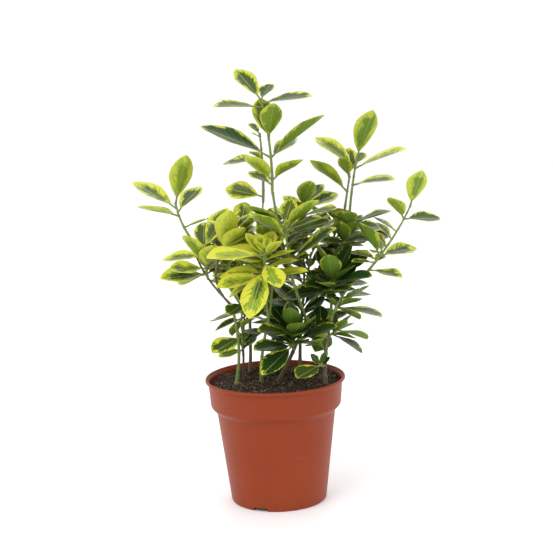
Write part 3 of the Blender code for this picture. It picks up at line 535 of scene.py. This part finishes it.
# Points, faces, places and map corners of one leaf blade, both sides closed at the margin
def bladeShape(pose, draw):
    rows, columns = leafLook["rows"], leafLook["columns"]
    upper, across = pose["upper"], pose["across"]
    wave = draw.uniform(0.6, 1.4) * leafLook["ripple"]
    phase = draw.uniform(0, 6.28)
    bend = draw.uniform(-1, 1) * leafLook["droop"]
    twist = draw.uniform(-leafLook["twist"], leafLook["twist"])
    points, places, index = [], [], {}
    for i in range(rows):
        share = rowShare(i)
        crenate = 1 + leafLook["crenate"] * (1 if i % 2 else -1) * min(1, 3 * share)
        half = pose["halfWidth"] * leafLook["slim"] * bladeOutline(share) * crenate
        centre = spineOf(pose, pose["petiole"] + pose["blade"] * share)
        centre -= upper * (half * leaf["fold"] * leaf["drop"] + pose["blade"] * bend * share ** 2)
        for j in range(columns + 1):
            t = 2 * j / columns - 1
            swing = leafLook["rippleTurns"] * share + phase + leafLook["rippleSlant"] * t
            ripple = wave * math.sin(swing) * t * t
            rise = half * (leaf["fold"] * abs(t) ** leafLook["foldCurve"] + ripple + twist * share * t)
            middle = centre + across * (half * t) + upper * rise
            thick = leafLook["thickness"] * (1 - t * t) / 2
            index[0, i, j] = index[1, i, j] = len(points)
            points.append(middle + upper * thick)
            places.append((t, share, 1.0 if abs(t) < 1 else 0.5))
            if 0 < j < columns:
                ribDepth = leafLook["ribDepth"] * (1 - share) if j == columns // 2 else 0
                index[1, i, j] = len(points)
                points.append(middle - upper * (thick + ribDepth))
                places.append((t, share, 0.0))
    tip = len(points)
    points.append(spineOf(pose, pose["length"]) - upper * pose["blade"] * bend)
    places.append((0.0, 1.0, 0.5))
    faces, corners = [], []
    for side in (0, 1):
        for i in range(rows):
            for j in range(columns):
                cells = [(i, j), (i, j + 1)]
                if i < rows - 1:
                    cells += [(i + 1, j + 1), (i + 1, j)]
                face = [index[side, *cell] for cell in cells]
                marks = [cellPlace(rowShare(row), 2 * column / columns - 1, side) for row, column in cells]
                if i == rows - 1:
                    face.append(tip)
                    marks.append(cellPlace(1, 0, side))
                faces.append(face[::-1] if side else face)
                corners.append(marks[::-1] if side else marks)
    for j in range(columns):
        face = dict.fromkeys([index[0, 0, j], index[1, 0, j], index[1, 0, j + 1], index[0, 0, j + 1]])
        faces.append(list(face))
        corners.append([(0.25, 0.01)] * len(face))
    return points, faces, places, corners


# A tube along a line, closed at both ends
def tubeShape(line, radii, sides):
    points = []
    side = Vector((1, 0, 0)) if abs((line[1] - line[0]).normalized().x) < 0.9 else Vector((0, 1, 0))
    for i, middle in enumerate(line):
        ahead = line[min(i + 1, len(line) - 1)] - line[max(i - 1, 0)]
        ring, side = ringRound(middle, ahead.normalized(), side, radii[i], sides)
        points += ring
    return points, tubeFaces(len(line), sides)


petioleLook = {
    "rings": 6, "sides": 6, "inside": 0.6, "underBlade": 0.1, "drop": 0.3, "radii": (1.2, 0.95, 0.6),
}


# The stalk swells where it leaves the stem and runs out under the blade
def petioleShape(pose):
    line, radii = [], []
    root, thick, thin = petioleLook["radii"]
    length = pose["petiole"] + pose["blade"] * petioleLook["underBlade"] + petioleLook["inside"]
    below = pose["halfWidth"] * bladeOutline(0) * leaf["fold"] * leaf["drop"] + petioleLook["drop"]
    for i in range(petioleLook["rings"]):
        share = i / (petioleLook["rings"] - 1)
        reach = length * share - petioleLook["inside"]
        drop = below * share
        line.append(spineOf(pose, max(reach, 0)) + pose["along"] * min(reach, 0) - pose["upper"] * drop)
        radii.append(thick - (thick - thin) * share if i else root)
    return tubeShape(line, radii, petioleLook["sides"])


# Many small shapes that become one piece
class Heap:
    def __init__(self):
        self.points = []
        self.faces = []

    def add(self, points, faces):
        first = len(self.points)
        self.points += [point * mm for point in points]
        self.faces += [[first + index for index in face] for face in faces]

    def piece(self, name, material, smoothAngle):
        return meshPiece(name, self.points, self.faces, material, smoothAngle)


# The leaves of one shoot, each with a cell of its own in the bake map
def leafPiece(mass, material):
    heap = Heap()
    count = len(mass.leaves)
    columns = max(1, math.ceil(math.ceil(math.sqrt(count * 2)) / 2))
    rows = math.ceil(count / columns)
    allPlaces, kinds, corners = [], [], []
    for number, pose in enumerate(mass.leaves):
        draw = random.Random(f"{mass.name} {number}")
        points, faces, places, marks = bladeShape(pose, draw)
        heap.add(points, faces)
        allPlaces += places
        seed = draw.random()
        lime = min(1, max(0, mass.shoot["lime"] + draw.gauss(0, leafLook["limeSpread"])))
        kinds += [(seed, lime, draw.random())] * len(points)
        column, row = number % columns, number // columns
        corners += [((column + u) / columns, (row + v) / rows) for face in marks for u, v in face]
    piece = heap.piece("leaves_" + mass.name, material, leafLook["smoothAngle"])
    attributes = piece.data.attributes
    setValues(attributes.new("leafPlace", "FLOAT_VECTOR", "POINT"), "vector", allPlaces)
    setValues(attributes.new("leafKind", "FLOAT_VECTOR", "POINT"), "vector", kinds)
    setValues(piece.data.uv_layers.new(name="OFBake"), "uv", corners)
    return piece


# A shader socket that takes part in Python expressions
class Value:
    def __init__(self, graph, socket):
        self.graph = graph
        self.socket = socket

    def __add__(self, other):
        return self.graph.maths("ADD", self, other)

    def __sub__(self, other):
        return self.graph.maths("SUBTRACT", self, other)

    def __rsub__(self, other):
        return self.graph.maths("SUBTRACT", other, self)

    def __mul__(self, other):
        return self.graph.maths("MULTIPLY", self, other)

    def __abs__(self):
        return self.graph.maths("ABSOLUTE", self)

    __radd__ = __add__
    __rmul__ = __mul__

    def least(self, other):
        return self.graph.maths("MINIMUM", self, other)

    def fraction(self):
        return self.graph.maths("FRACT", self)

    # 0 below low, 1 above high, smooth between
    def step(self, low, high):
        return self.graph.node("ShaderNodeMapRange", {"interpolation_type": "SMOOTHSTEP"},
                               {"Value": self, "From Min": low, "From Max": high})["Result"]


# A material's nodes
class Graph:
    def __init__(self, name, specular):
        self.material = bpy.data.materials.new(name)
        self.material.use_nodes = True
        self.tree = self.material.node_tree
        self.shader = self.tree.nodes["Principled BSDF"]
        self.shader.inputs["Specular IOR Level"].default_value = specular

    def node(self, kind, settings={}, sockets={}):
        made = self.tree.nodes.new(kind)
        for key, value in settings.items():
            setattr(made, key, value)
        for key, value in sockets.items():
            self.feed(made.inputs[key], value)
        return {socket.name: Value(self, socket) for socket in made.outputs}

    def feed(self, socket, value):
        if isinstance(value, Value):
            self.tree.links.new(value.socket, socket)
        elif isinstance(value, tuple) and socket.type == "RGBA":
            socket.default_value = (*value, 1)[:4]
        else:
            socket.default_value = value

    def maths(self, operation, *values):
        return self.node("ShaderNodeMath", {"operation": operation}, dict(enumerate(values)))["Value"]

    def mix(self, share, first, second):
        made = self.tree.nodes.new("ShaderNodeMix")
        made.data_type = "RGBA"
        self.feed(made.inputs["Factor"], share)
        inputs = {socket.name: socket for socket in made.inputs if socket.type == "RGBA"}
        self.feed(inputs["A"], first)
        self.feed(inputs["B"], second)
        return Value(self, next(socket for socket in made.outputs if socket.type == "RGBA"))

    def noise(self, place, scale, detail=3.0, roughness=0.5):
        sockets = {"Vector": place, "Scale": scale, "Detail": detail, "Roughness": roughness}
        return self.node("ShaderNodeTexNoise", {}, sockets)["Fac"]

    def objectPlace(self):
        return self.node("ShaderNodeTexCoord")["Object"]

    def scaled(self, place, scale):
        return self.node("ShaderNodeVectorMath", {"operation": "MULTIPLY"}, {0: place, 1: scale})["Vector"]

    def attribute(self, name):
        place = self.node("ShaderNodeAttribute", {"attribute_name": name})["Vector"]
        split = self.node("ShaderNodeSeparateXYZ", {}, {"Vector": place})
        return split["X"], split["Y"], split["Z"]

    def vector(self, x, y, z):
        return self.node("ShaderNodeCombineXYZ", {}, {"X": x, "Y": y, "Z": z})["Vector"]

    # Bump distance is in metres
    def finish(self, colour, roughness, height=None, strength=0, distance=0):
        self.feed(self.shader.inputs["Base Color"], colour)
        self.feed(self.shader.inputs["Roughness"], roughness)
        if height:
            sockets = {"Strength": strength, "Distance": distance, "Height": height}
            bump = self.node("ShaderNodeBump", {}, sockets)
            self.feed(self.shader.inputs["Normal"], bump["Normal"])
        return self.material


leafColours = {
    "margin": (0.62, 0.61, 0.045), "pale": (0.66, 0.68, 0.20), "middle": (0.14, 0.26, 0.016),
    "dark": (0.011, 0.046, 0.008), "under": (0.40, 0.49, 0.055), "shadedUnder": (0.12, 0.21, 0.022),
}


# A dark middle, feathered along the side veins, then a mid green and a lime margin that is wider the more
# lime the leaf is; leafPlace holds the place across and along the blade and its side
def leafMaterial():
    graph = Graph("variegated leaf", 0.30)
    across, along, side = graph.attribute("leafPlace")
    seed, lime, age = graph.attribute("leafKind")
    vein = along - abs(across) * 0.3
    broad = graph.noise(graph.vector(across * 0.9, along * 2.2 + seed * 31.0, seed * 57.0), 1.5, 2.0)
    streak = graph.noise(graph.vector(across * 1.2 + seed * 11.0, vein * 15.0, seed * 23.0), 1.0, 2.0)
    fine = graph.noise(graph.vector(across * 5.0, vein * 24.0, seed * 91.0), 1.6, 3.0)
    inside = (1 - abs(across)).least((1 - along) * 2.4).least(along * 3.0 + 0.1)
    edge = inside + (broad - 0.5) * 1.1 + (streak - 0.5) * 0.55 + (fine - 0.5) * 0.2
    width = lime * 1.05 - 0.04
    darkMask = (edge - width).step(-0.04, 0.09)
    middleMask = (edge - width * 0.55 + (streak - 0.5) * 0.5).step(-0.05, 0.07)
    colour = graph.mix(middleMask * 0.9, leafColours["margin"], leafColours["middle"])
    colour = graph.mix(darkMask, colour, leafColours["dark"])
    rib = 1 - abs(across).step(0.01, 0.055)
    ridge = abs((vein * 8.0).fraction() - 0.5).step(0.38, 0.5)
    colour = graph.mix(rib * 0.45 + ridge * 0.07, colour, leafColours["pale"])
    under = 1 - side.step(0.3, 0.7)
    paleUnder = graph.mix(lime * 1.6, leafColours["shadedUnder"], leafColours["under"])
    paleUnder = graph.mix(darkMask * 0.6 + middleMask * 0.2, paleUnder, leafColours["middle"])
    colour = graph.mix(under * 0.65, colour, paleUnder)
    colour = graph.mix(age * lime * 0.35, colour, leafColours["margin"])
    height = ridge * -0.35 + rib * -0.6 + fine * 0.5 + broad * 0.6
    roughness = fine * 0.2 + under * 0.2 + 0.24
    return graph.finish(colour, roughness, height, 0.35, 0.0006)


# Each bark: main colour, second colour, colour of its ridges and specks
barkColours = {
    "brown": ((0.13, 0.105, 0.045), (0.075, 0.058, 0.026), (0.27, 0.24, 0.12)),
    "green": ((0.20, 0.27, 0.055), (0.13, 0.19, 0.035), (0.30, 0.27, 0.12)),
}


def barkMaterial(name, colours):
    main, other, ridge = colours
    graph = Graph(name, 0.4)
    place = graph.objectPlace()
    long = graph.noise(graph.scaled(place, (900, 900, 130)), 1.0, 4.0, 0.6)
    patch = graph.noise(graph.scaled(place, (120, 120, 60)), 1.0, 3.0)
    speck = graph.noise(place, 1400.0, 2.0).step(0.62, 0.72)
    colour = graph.mix(long.step(0.35, 0.65), main, other)
    colour = graph.mix(patch.step(0.5, 0.7) * 0.5, colour, ridge)
    colour = graph.mix(speck * 0.5, colour, ridge)
    return graph.finish(colour, long * 0.25 + 0.5, long + speck * 0.4, 0.5, 0.0005)


potColours = {
    "main": (0.235, 0.031, 0.005), "light": (0.275, 0.044, 0.010), "dust": (0.32, 0.080, 0.032),
    "dirt": (0.20, 0.06, 0.03),
}


def potMaterial():
    graph = Graph("terracotta plastic", 0.22)
    place = graph.objectPlace()
    broad = graph.noise(place, 14.0, 2.0)
    streak = graph.noise(graph.scaled(place, (40, 40, 6)), 1.0, 3.0)
    dust = graph.noise(place, 260.0, 4.0, 0.65)
    scuff = graph.noise(graph.scaled(place, (60, 60, 240)), 1.0, 3.0).step(0.66, 0.74)
    split = graph.node("ShaderNodeSeparateXYZ", {}, {"Vector": place})
    low = 1 - split["Z"].step(0.0, 0.02)
    colour = graph.mix(broad.step(0.35, 0.7) * 0.5 + streak * 0.25, potColours["main"], potColours["light"])
    colour = graph.mix(dust.step(0.6, 0.8) * 0.25 + scuff * 0.2, colour, potColours["dust"])
    colour = graph.mix(low * dust.step(0.45, 0.7) * 0.3, colour, potColours["dirt"])
    return graph.finish(colour, dust * 0.16 + broad * 0.1 + 0.3, dust + broad * 0.5, 0.12, 0.0005)


soilColours = {
    "dark": (0.010, 0.007, 0.005), "light": (0.075, 0.042, 0.026), "patch": (0.032, 0.018, 0.012),
    "bits": (0.20, 0.13, 0.08), "moss": (0.07, 0.085, 0.02),
}


def soilMaterial():
    graph = Graph("peat soil", 0.3)
    place = graph.objectPlace()
    grain = graph.noise(place, 700.0, 5.0, 0.7)
    patch = graph.noise(place, 90.0, 3.0)
    bits = graph.noise(place, 420.0, 2.0).step(0.66, 0.72)
    moss = graph.noise(place, 45.0, 3.0).step(0.62, 0.72)
    colour = graph.mix(grain.step(0.35, 0.65), soilColours["dark"], soilColours["light"])
    colour = graph.mix(patch.step(0.4, 0.7) * 0.5, colour, soilColours["patch"])
    colour = graph.mix(bits * 0.7, colour, soilColours["bits"])
    colour = graph.mix(moss * 0.35, colour, soilColours["moss"])
    return graph.finish(colour, grain * 0.2 + 0.75, grain + bits * 0.5, 0.8, 0.001)


def plainGrain(name, colour, other, roughness, scale):
    graph = Graph(name, 0.4)
    grain = graph.noise(graph.objectPlace(), scale, 3.0)
    mixed = graph.mix(grain.step(0.35, 0.65), colour, other)
    return graph.finish(mixed, grain * 0.2 + roughness - 0.1, grain, 0.3, 0.0005)


# Rounds each corner of a half section with a small arc
def roundedSection(section, rounding, cuts=4):
    points = [section[0]]
    for before, corner, after in zip(section, section[1:], section[2:]):
        a, b, c = Vector(before), Vector(corner), Vector(after)
        reach = min(rounding, (a - b).length * 0.45, (c - b).length * 0.45)
        start = b + (a - b).normalized() * reach
        end = b + (c - b).normalized() * reach
        for i in range(cuts + 1):
            t = i / cuts
            points.append(tuple(start * (1 - t) ** 2 + b * (2 * t * (1 - t)) + end * t ** 2))
    return points + [section[-1]]


def potSection():
    high, lip, collar = pot["height"], pot["lipRadius"], pot["collarRadius"]
    foot, footHigh = pot["collarFootRadius"], pot["collarFootHeight"]
    top, topHigh = pot["bodyTopRadius"], pot["bodyTopHeight"]
    base, wall, floor = pot["baseRadius"], pot["wall"], pot["baseThickness"]
    inside = [
        (0, floor), (base - 2, floor), (base - 1.2, floor + 0.7), (top - wall, topHigh),
        (top - 0.5, topHigh + 1.6), (foot - 1.7, footHigh + 0.6), (foot - wall, footHigh + 1.8),
        (collar - wall, high - 5.4), (collar - 0.7, high - 3), (lip - 1.9, high - 1.2),
        (lip - 1.6, high - 0.3), (lip - 1, high),
    ]
    outside = [
        (lip - 0.3, high - 0.4), (lip, high - 1.2), (lip, high - 2.2), (lip - 0.6, high - 2.9),
        (collar + 0.2, high - 3.6), (collar, high - 4.8), (foot, footHigh + 0.8),
        (foot - 0.6, footHigh - 0.4), (top + 0.5, topHigh + 0.6), (top, topHigh - 0.8),
        (base + 0.2, 1.6), (base - 0.2, 0.5), (base - 1, 0), (0, 0),
    ]
    return roundedSection(inside + outside, pot["rounding"])[1:-1]


# The shell starts as a disc on the pot's floor, which is extruded and resized from ring to ring
def buildPot(material):
    rings = potSection()
    radius, height = rings[0]
    bpy.ops.mesh.primitive_circle_add(vertices=pot["steps"], radius=radius * mm, fill_type="NGON",
                                      location=(0, 0, height * mm))
    piece = bpy.context.active_object
    piece.name = "pot_shell"
    bpy.ops.object.transform_apply(location=True, rotation=False, scale=False)
    bpy.ops.object.mode_set(mode="EDIT")
    for nextRadius, nextHeight in rings[1:]:
        bpy.ops.mesh.extrude_region()
        share = nextRadius / radius
        bpy.ops.transform.resize(value=(share, share, 1), center_override=(0, 0, 0))
        bpy.ops.transform.translate(value=(0, 0, (nextHeight - height) * mm))
        radius, height = nextRadius, nextHeight
    bpy.ops.mesh.select_all(action="SELECT")
    bpy.ops.mesh.normals_make_consistent(inside=False)
    bpy.ops.object.mode_set(mode="OBJECT")
    piece.data.materials.append(material)
    for number in range(pot["notchCount"]):
        cutNotch(piece, math.radians(pot["notchFirstTurn"] + number * 360 / pot["notchCount"]))
    smooth(piece.data, pot["sharpAngle"])
    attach(piece, "root")
    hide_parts("pot")
    print("pot made")


def cutNotch(piece, turn):
    reach = (pot["baseRadius"] - pot["notchDepth"] / 2 + pot["notchBeyond"] / 2) * mm
    place = (reach * math.cos(turn), reach * math.sin(turn), pot["notchFloor"] / 2 * mm)
    bpy.ops.mesh.primitive_cube_add(size=1, location=place)
    cutter = bpy.context.active_object
    high = 2 * pot["notchHeight"] - pot["notchFloor"]
    cutter.scale = Vector((pot["notchDepth"] + pot["notchBeyond"], pot["notchWidth"], high)) * mm
    cutter.rotation_euler = (0, 0, turn)
    bpy.ops.object.transform_apply(location=False, rotation=False, scale=True)
    bevel = cutter.modifiers.new("round", "BEVEL")
    bevel.width = pot["notchRounding"] * mm
    bevel.segments = 3
    cut = piece.modifiers.new("notch", "BOOLEAN")
    cut.object = cutter
    cut.operation = "DIFFERENCE"
    bpy.context.view_layer.objects.active = piece
    bpy.ops.object.modifier_apply(modifier=cut.name)
    bpy.data.objects.remove(cutter, do_unlink=True)


def soilHeight(x, y, waves):
    return sum(size * math.sin(kx * x + ky * y + phase) for kx, ky, phase, size in waves)


def circlePoint(radius, share, height):
    return (radius * math.cos(2 * math.pi * share), radius * math.sin(2 * math.pi * share), height)


# A lumpy disc with a skirt that goes down inside the wall
def soilBed(draw, waves, material):
    level, rings, steps = soil["level"], soil["rings"], soil["steps"]
    points, faces = [(0, 0, level)], [(0, 1 + k, 1 + (k + 1) % steps) for k in range(steps)]
    for i in range(1, rings + 1):
        radius = (soil["radius"] - 1.0) * i / rings
        edge = soil["edgeDrop"] * max(0, (radius - soil["edgeStart"]) / soil["edgeWidth"]) ** 2
        for k in range(steps):
            x, y, _ = circlePoint(radius, k / steps, 0)
            heap = soilHeight(x, y, waves) + draw.uniform(-soil["roughness"], soil["roughness"])
            points.append((x, y, level - soil["sink"] + heap - edge))
    points += [circlePoint(soil["footRadius"], k / steps, level - soil["depth"]) for k in range(steps)]
    for i in range(rings):
        for k in range(steps):
            low, high = 1 + i * steps, 1 + (i + 1) * steps
            faces.append((low + k, high + k, high + (k + 1) % steps, low + (k + 1) % steps))
    last = len(points)
    points.append((0, 0, level - soil["depth"]))
    faces += [(last - steps + k, last, last - steps + (k + 1) % steps) for k in range(steps)]
    bed = meshPiece("soil_bed", [Vector(point) * mm for point in points], faces, material, 60)
    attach(bed, "root")
    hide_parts("soil")


def placeOnSoil(draw, waves, margin):
    turn, radius = draw.uniform(0, 6.28), (soil["radius"] - margin) * math.sqrt(draw.random())
    x, y = radius * math.cos(turn), radius * math.sin(turn)
    return Vector((x, y, soil["level"] - soil["sink"] + soilHeight(x, y, waves)))


# Crumbs and fibres lie on the bed, so they take the place of no solid
def soilHeap(name, heap, material, smoothAngle):
    piece = heap.piece(name, material, smoothAngle)
    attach(piece, "root")


def buildSoil(material, crumbs, fibreMaterial):
    draw = random.Random(soil["seed"])
    waves = []
    for size, scale in soil["waves"]:
        for _ in range(soil["wavesOfEach"]):
            turn = draw.uniform(0, 6.28)
            waves.append((scale * math.cos(turn), scale * math.sin(turn), draw.uniform(0, 6.28), size / 2))
    soilBed(draw, waves, material)
    box = [(0, 1, 3, 2), (4, 6, 7, 5), (0, 4, 5, 1), (2, 3, 7, 6), (0, 2, 6, 4), (1, 5, 7, 3)]
    for name, crumbMaterial, count, low, high in crumbs:
        heap = Heap()
        for _ in range(count):
            size = draw.uniform(low, high)
            middle = placeOnSoil(draw, waves, soil["crumbMargin"]) + up * (size * soil["crumbRise"])
            angle = draw.uniform(0, 6.28)
            axis = Vector((draw.gauss(0, 1), draw.gauss(0, 1), draw.gauss(0, 1))).normalized()
            turn = Matrix.Rotation(angle, 3, axis)
            stretch = [draw.uniform(*span) for span in soil["crumbStretch"]]
            corners = []
            for corner in ((x, y, z) for x in (-1, 1) for y in (-1, 1) for z in (-1, 1)):
                place = [c * s * size * 0.6 * draw.uniform(0.6, 1.1) for c, s in zip(corner, stretch)]
                corners.append(middle + turn @ Vector(place))
            heap.add(corners, box)
        soilHeap(name, heap, crumbMaterial, 50)
    heap = Heap()
    for _ in range(soil["fibres"]):
        start = placeOnSoil(draw, waves, soil["fibreMargin"]) + up * soil["fibreRise"]
        turn, bend = draw.uniform(0, 6.28), draw.uniform(-soil["fibreBend"], soil["fibreBend"])
        length = draw.uniform(*soil["fibreLength"])
        line = []
        for i in range(soil["fibrePoints"]):
            share = i / (soil["fibrePoints"] - 1)
            ahead = Vector((math.cos(turn + bend * share), math.sin(turn + bend * share), 0)) * length * share
            line.append(start + ahead + up * (soil["fibreArch"] * math.sin(3.14 * share) + 0.2))
        if max(point.xy.length for point in line) < soil["radius"] - soil["wallMargin"]:
            heap.add(*tubeShape(line, [soil["fibreRadius"]] * soil["fibrePoints"], 4))
    soilHeap("soil_fibres", heap, fibreMaterial, 60)
    print("soil made")


stemLook = {
    "ringEvery": 1.1, "sides": 14, "node": 0.16, "nodeEvery": (14, 24), "firstNode": (6, 14),
    "nodeWidth": 1.3, "bark": 0.05, "slim": 0.72, "inside": 2.4, "insideSoil": 1.5, "smoothAngle": 70,
}


# A limb with swellings at its nodes and rough bark, that starts inside what carries it
def roughTube(heap, limb, radii, draw, slim=1.0):
    length = lengthOf(limb)
    count = max(8, int(length / stemLook["ringEvery"]))
    nodes, reach = [], draw.uniform(*stemLook["firstNode"])
    while reach < length:
        nodes.append(reach)
        reach += draw.uniform(*stemLook["nodeEvery"])
    line, sizes = [], []
    for i in range(count):
        share = i / (count - 1)
        middle = placeOn(limb, share)
        radius = radiusAt(limb, radii, share, middle) * slim
        for node in nodes:
            swell = math.exp(-((share * length - node) / stemLook["nodeWidth"]) ** 2)
            radius += radii[0] * stemLook["node"] * swell
        line.append(middle)
        sizes.append(radius)
    if "foot" in limb:
        line[0] = line[0] - up * stemLook["insideSoil"]
    else:
        line.insert(0, line[0] - (line[1] - line[0]).normalized() * stemLook["inside"])
        sizes.insert(0, sizes[0] * 0.8)
    sides = stemLook["sides"]
    points, faces = tubeShape(line, sizes, sides)
    phases = [draw.uniform(-1, 1) for _ in range(sides)]
    for i, middle in enumerate(line):
        for k in range(sides):
            rough = stemLook["bark"] * (phases[k] * 0.6 + draw.uniform(-0.6, 0.6))
            points[i * sides + k] += (points[i * sides + k] - middle) * rough
    heap.add(points, faces)


def buildLimbs(materials):
    for skin, slot in (("bark", "bark"), ("green", "green_stem")):
        heap = Heap()
        names = [name for name, limb in limbs.items() if limb["skin"] == skin]
        for name in names:
            roughTube(heap, limbs[name], limbs[name]["radii"], random.Random(name), stemLook["slim"])
        piece = heap.piece("stems_" + skin, materials[skin], stemLook["smoothAngle"])
        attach(piece, "root")
        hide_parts(*names)
    print("limbs made")


def buildFoliage(material, stemMaterial):
    twigs = Heap()
    for mass in growLeaves():
        roughTube(twigs, mass.shoot, growth["stemRadii"], random.Random(mass.name))
        for pose in mass.leaves:
            twigs.add(*petioleShape(pose))
        piece = leafPiece(mass, material)
        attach(piece, "root")
        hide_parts(mass.name)
    piece = twigs.piece("twigs", stemMaterial, stemLook["smoothAngle"])
    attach(piece, "root")
    print("foliage made")


# Lights: place, size and power; all of them look at the middle of the plant
stage = {
    "floorSize": 6.0, "sky": 1.06, "aim": (0, 0, 0.2),
    "lights": {
        "key light": ((-0.9, -1.1, 1.5), 1.2, 14.0),
        "fill light": ((1.2, -0.9, 0.9), 1.4, 3.0),
        "back light": ((0.2, 1.3, 1.3), 1.4, 7.0),
    },
}
view = {
    "eye": (4.07, -1159.2, 397.5), "look": (4.07, 0, 194.3), "roll": 1.97,
    "focalPixels": 1390.0, "framePixels": 553.0, "sensor": 36.0, "near": 0.01,
}


def buildStage():
    bpy.ops.mesh.primitive_plane_add(size=stage["floorSize"])
    floor = bpy.context.active_object
    floor.name = "floor"
    graph = Graph("white floor", 0.2)
    grain = graph.noise(graph.objectPlace(), 3.0, 2.0)
    white = graph.mix(grain, (0.93, 0.93, 0.93), (0.95, 0.95, 0.95))
    floor.data.materials.append(graph.finish(white, 0.6))
    for name, (place, size, power) in stage["lights"].items():
        light = bpy.data.lights.new(name, "AREA")
        light.size = size
        light.energy = power
        lamp = linked(name, light)
        lamp.location = place
        lamp.rotation_euler = (Vector(stage["aim"]) - Vector(place)).to_track_quat("-Z", "Y").to_euler()
    world = bpy.data.worlds.new("studio")
    bpy.context.scene.world = world
    world.use_nodes = True
    sky = world.node_tree.nodes["Background"].inputs
    sky["Color"].default_value = (1, 1, 1, 1)
    sky["Strength"].default_value = stage["sky"]
    bpy.context.scene.view_settings.view_transform = "Standard"
    print("stage made")


def buildCamera():
    lens = bpy.data.cameras.new("camera")
    lens.sensor_width = view["sensor"]
    lens.lens = view["sensor"] * view["focalPixels"] / view["framePixels"]
    lens.clip_start = view["near"]
    camera = linked("camera", lens)
    camera.location = Vector(view["eye"]) * mm
    ahead = (Vector(view["look"]) - Vector(view["eye"])).normalized()
    roll = Matrix.Rotation(math.radians(-view["roll"]), 3, "Z")
    camera.rotation_euler = (ahead.to_track_quat("-Z", "Y").to_matrix() @ roll).to_euler()
    bpy.context.scene.camera = camera


bark = barkMaterial("brown bark", barkColours["brown"])
green = barkMaterial("green stem skin", barkColours["green"])
darkCrumbs = plainGrain("dark crumbs", (0.012, 0.008, 0.006), (0.06, 0.035, 0.022), 0.9, 500.0)
paleBits = plainGrain("pale bits", (0.16, 0.10, 0.055), (0.36, 0.27, 0.17), 0.85, 300.0)
moss = plainGrain("green moss", (0.06, 0.09, 0.015), (0.16, 0.21, 0.04), 0.9, 400.0)
buildPot(potMaterial())
# Crumbs: name, material, count, smallest and largest size
buildSoil(soilMaterial(), (
    ("soil_crumbs", darkCrumbs, 900, 0.5, 2.2),
    ("soil_bits", paleBits, 130, 0.35, 1.0),
    ("soil_moss", moss, 110, 0.3, 0.8),
), paleBits)
buildLimbs({"bark": bark, "green": green})
buildFoliage(leafMaterial(), green)
buildStage()
buildCamera()
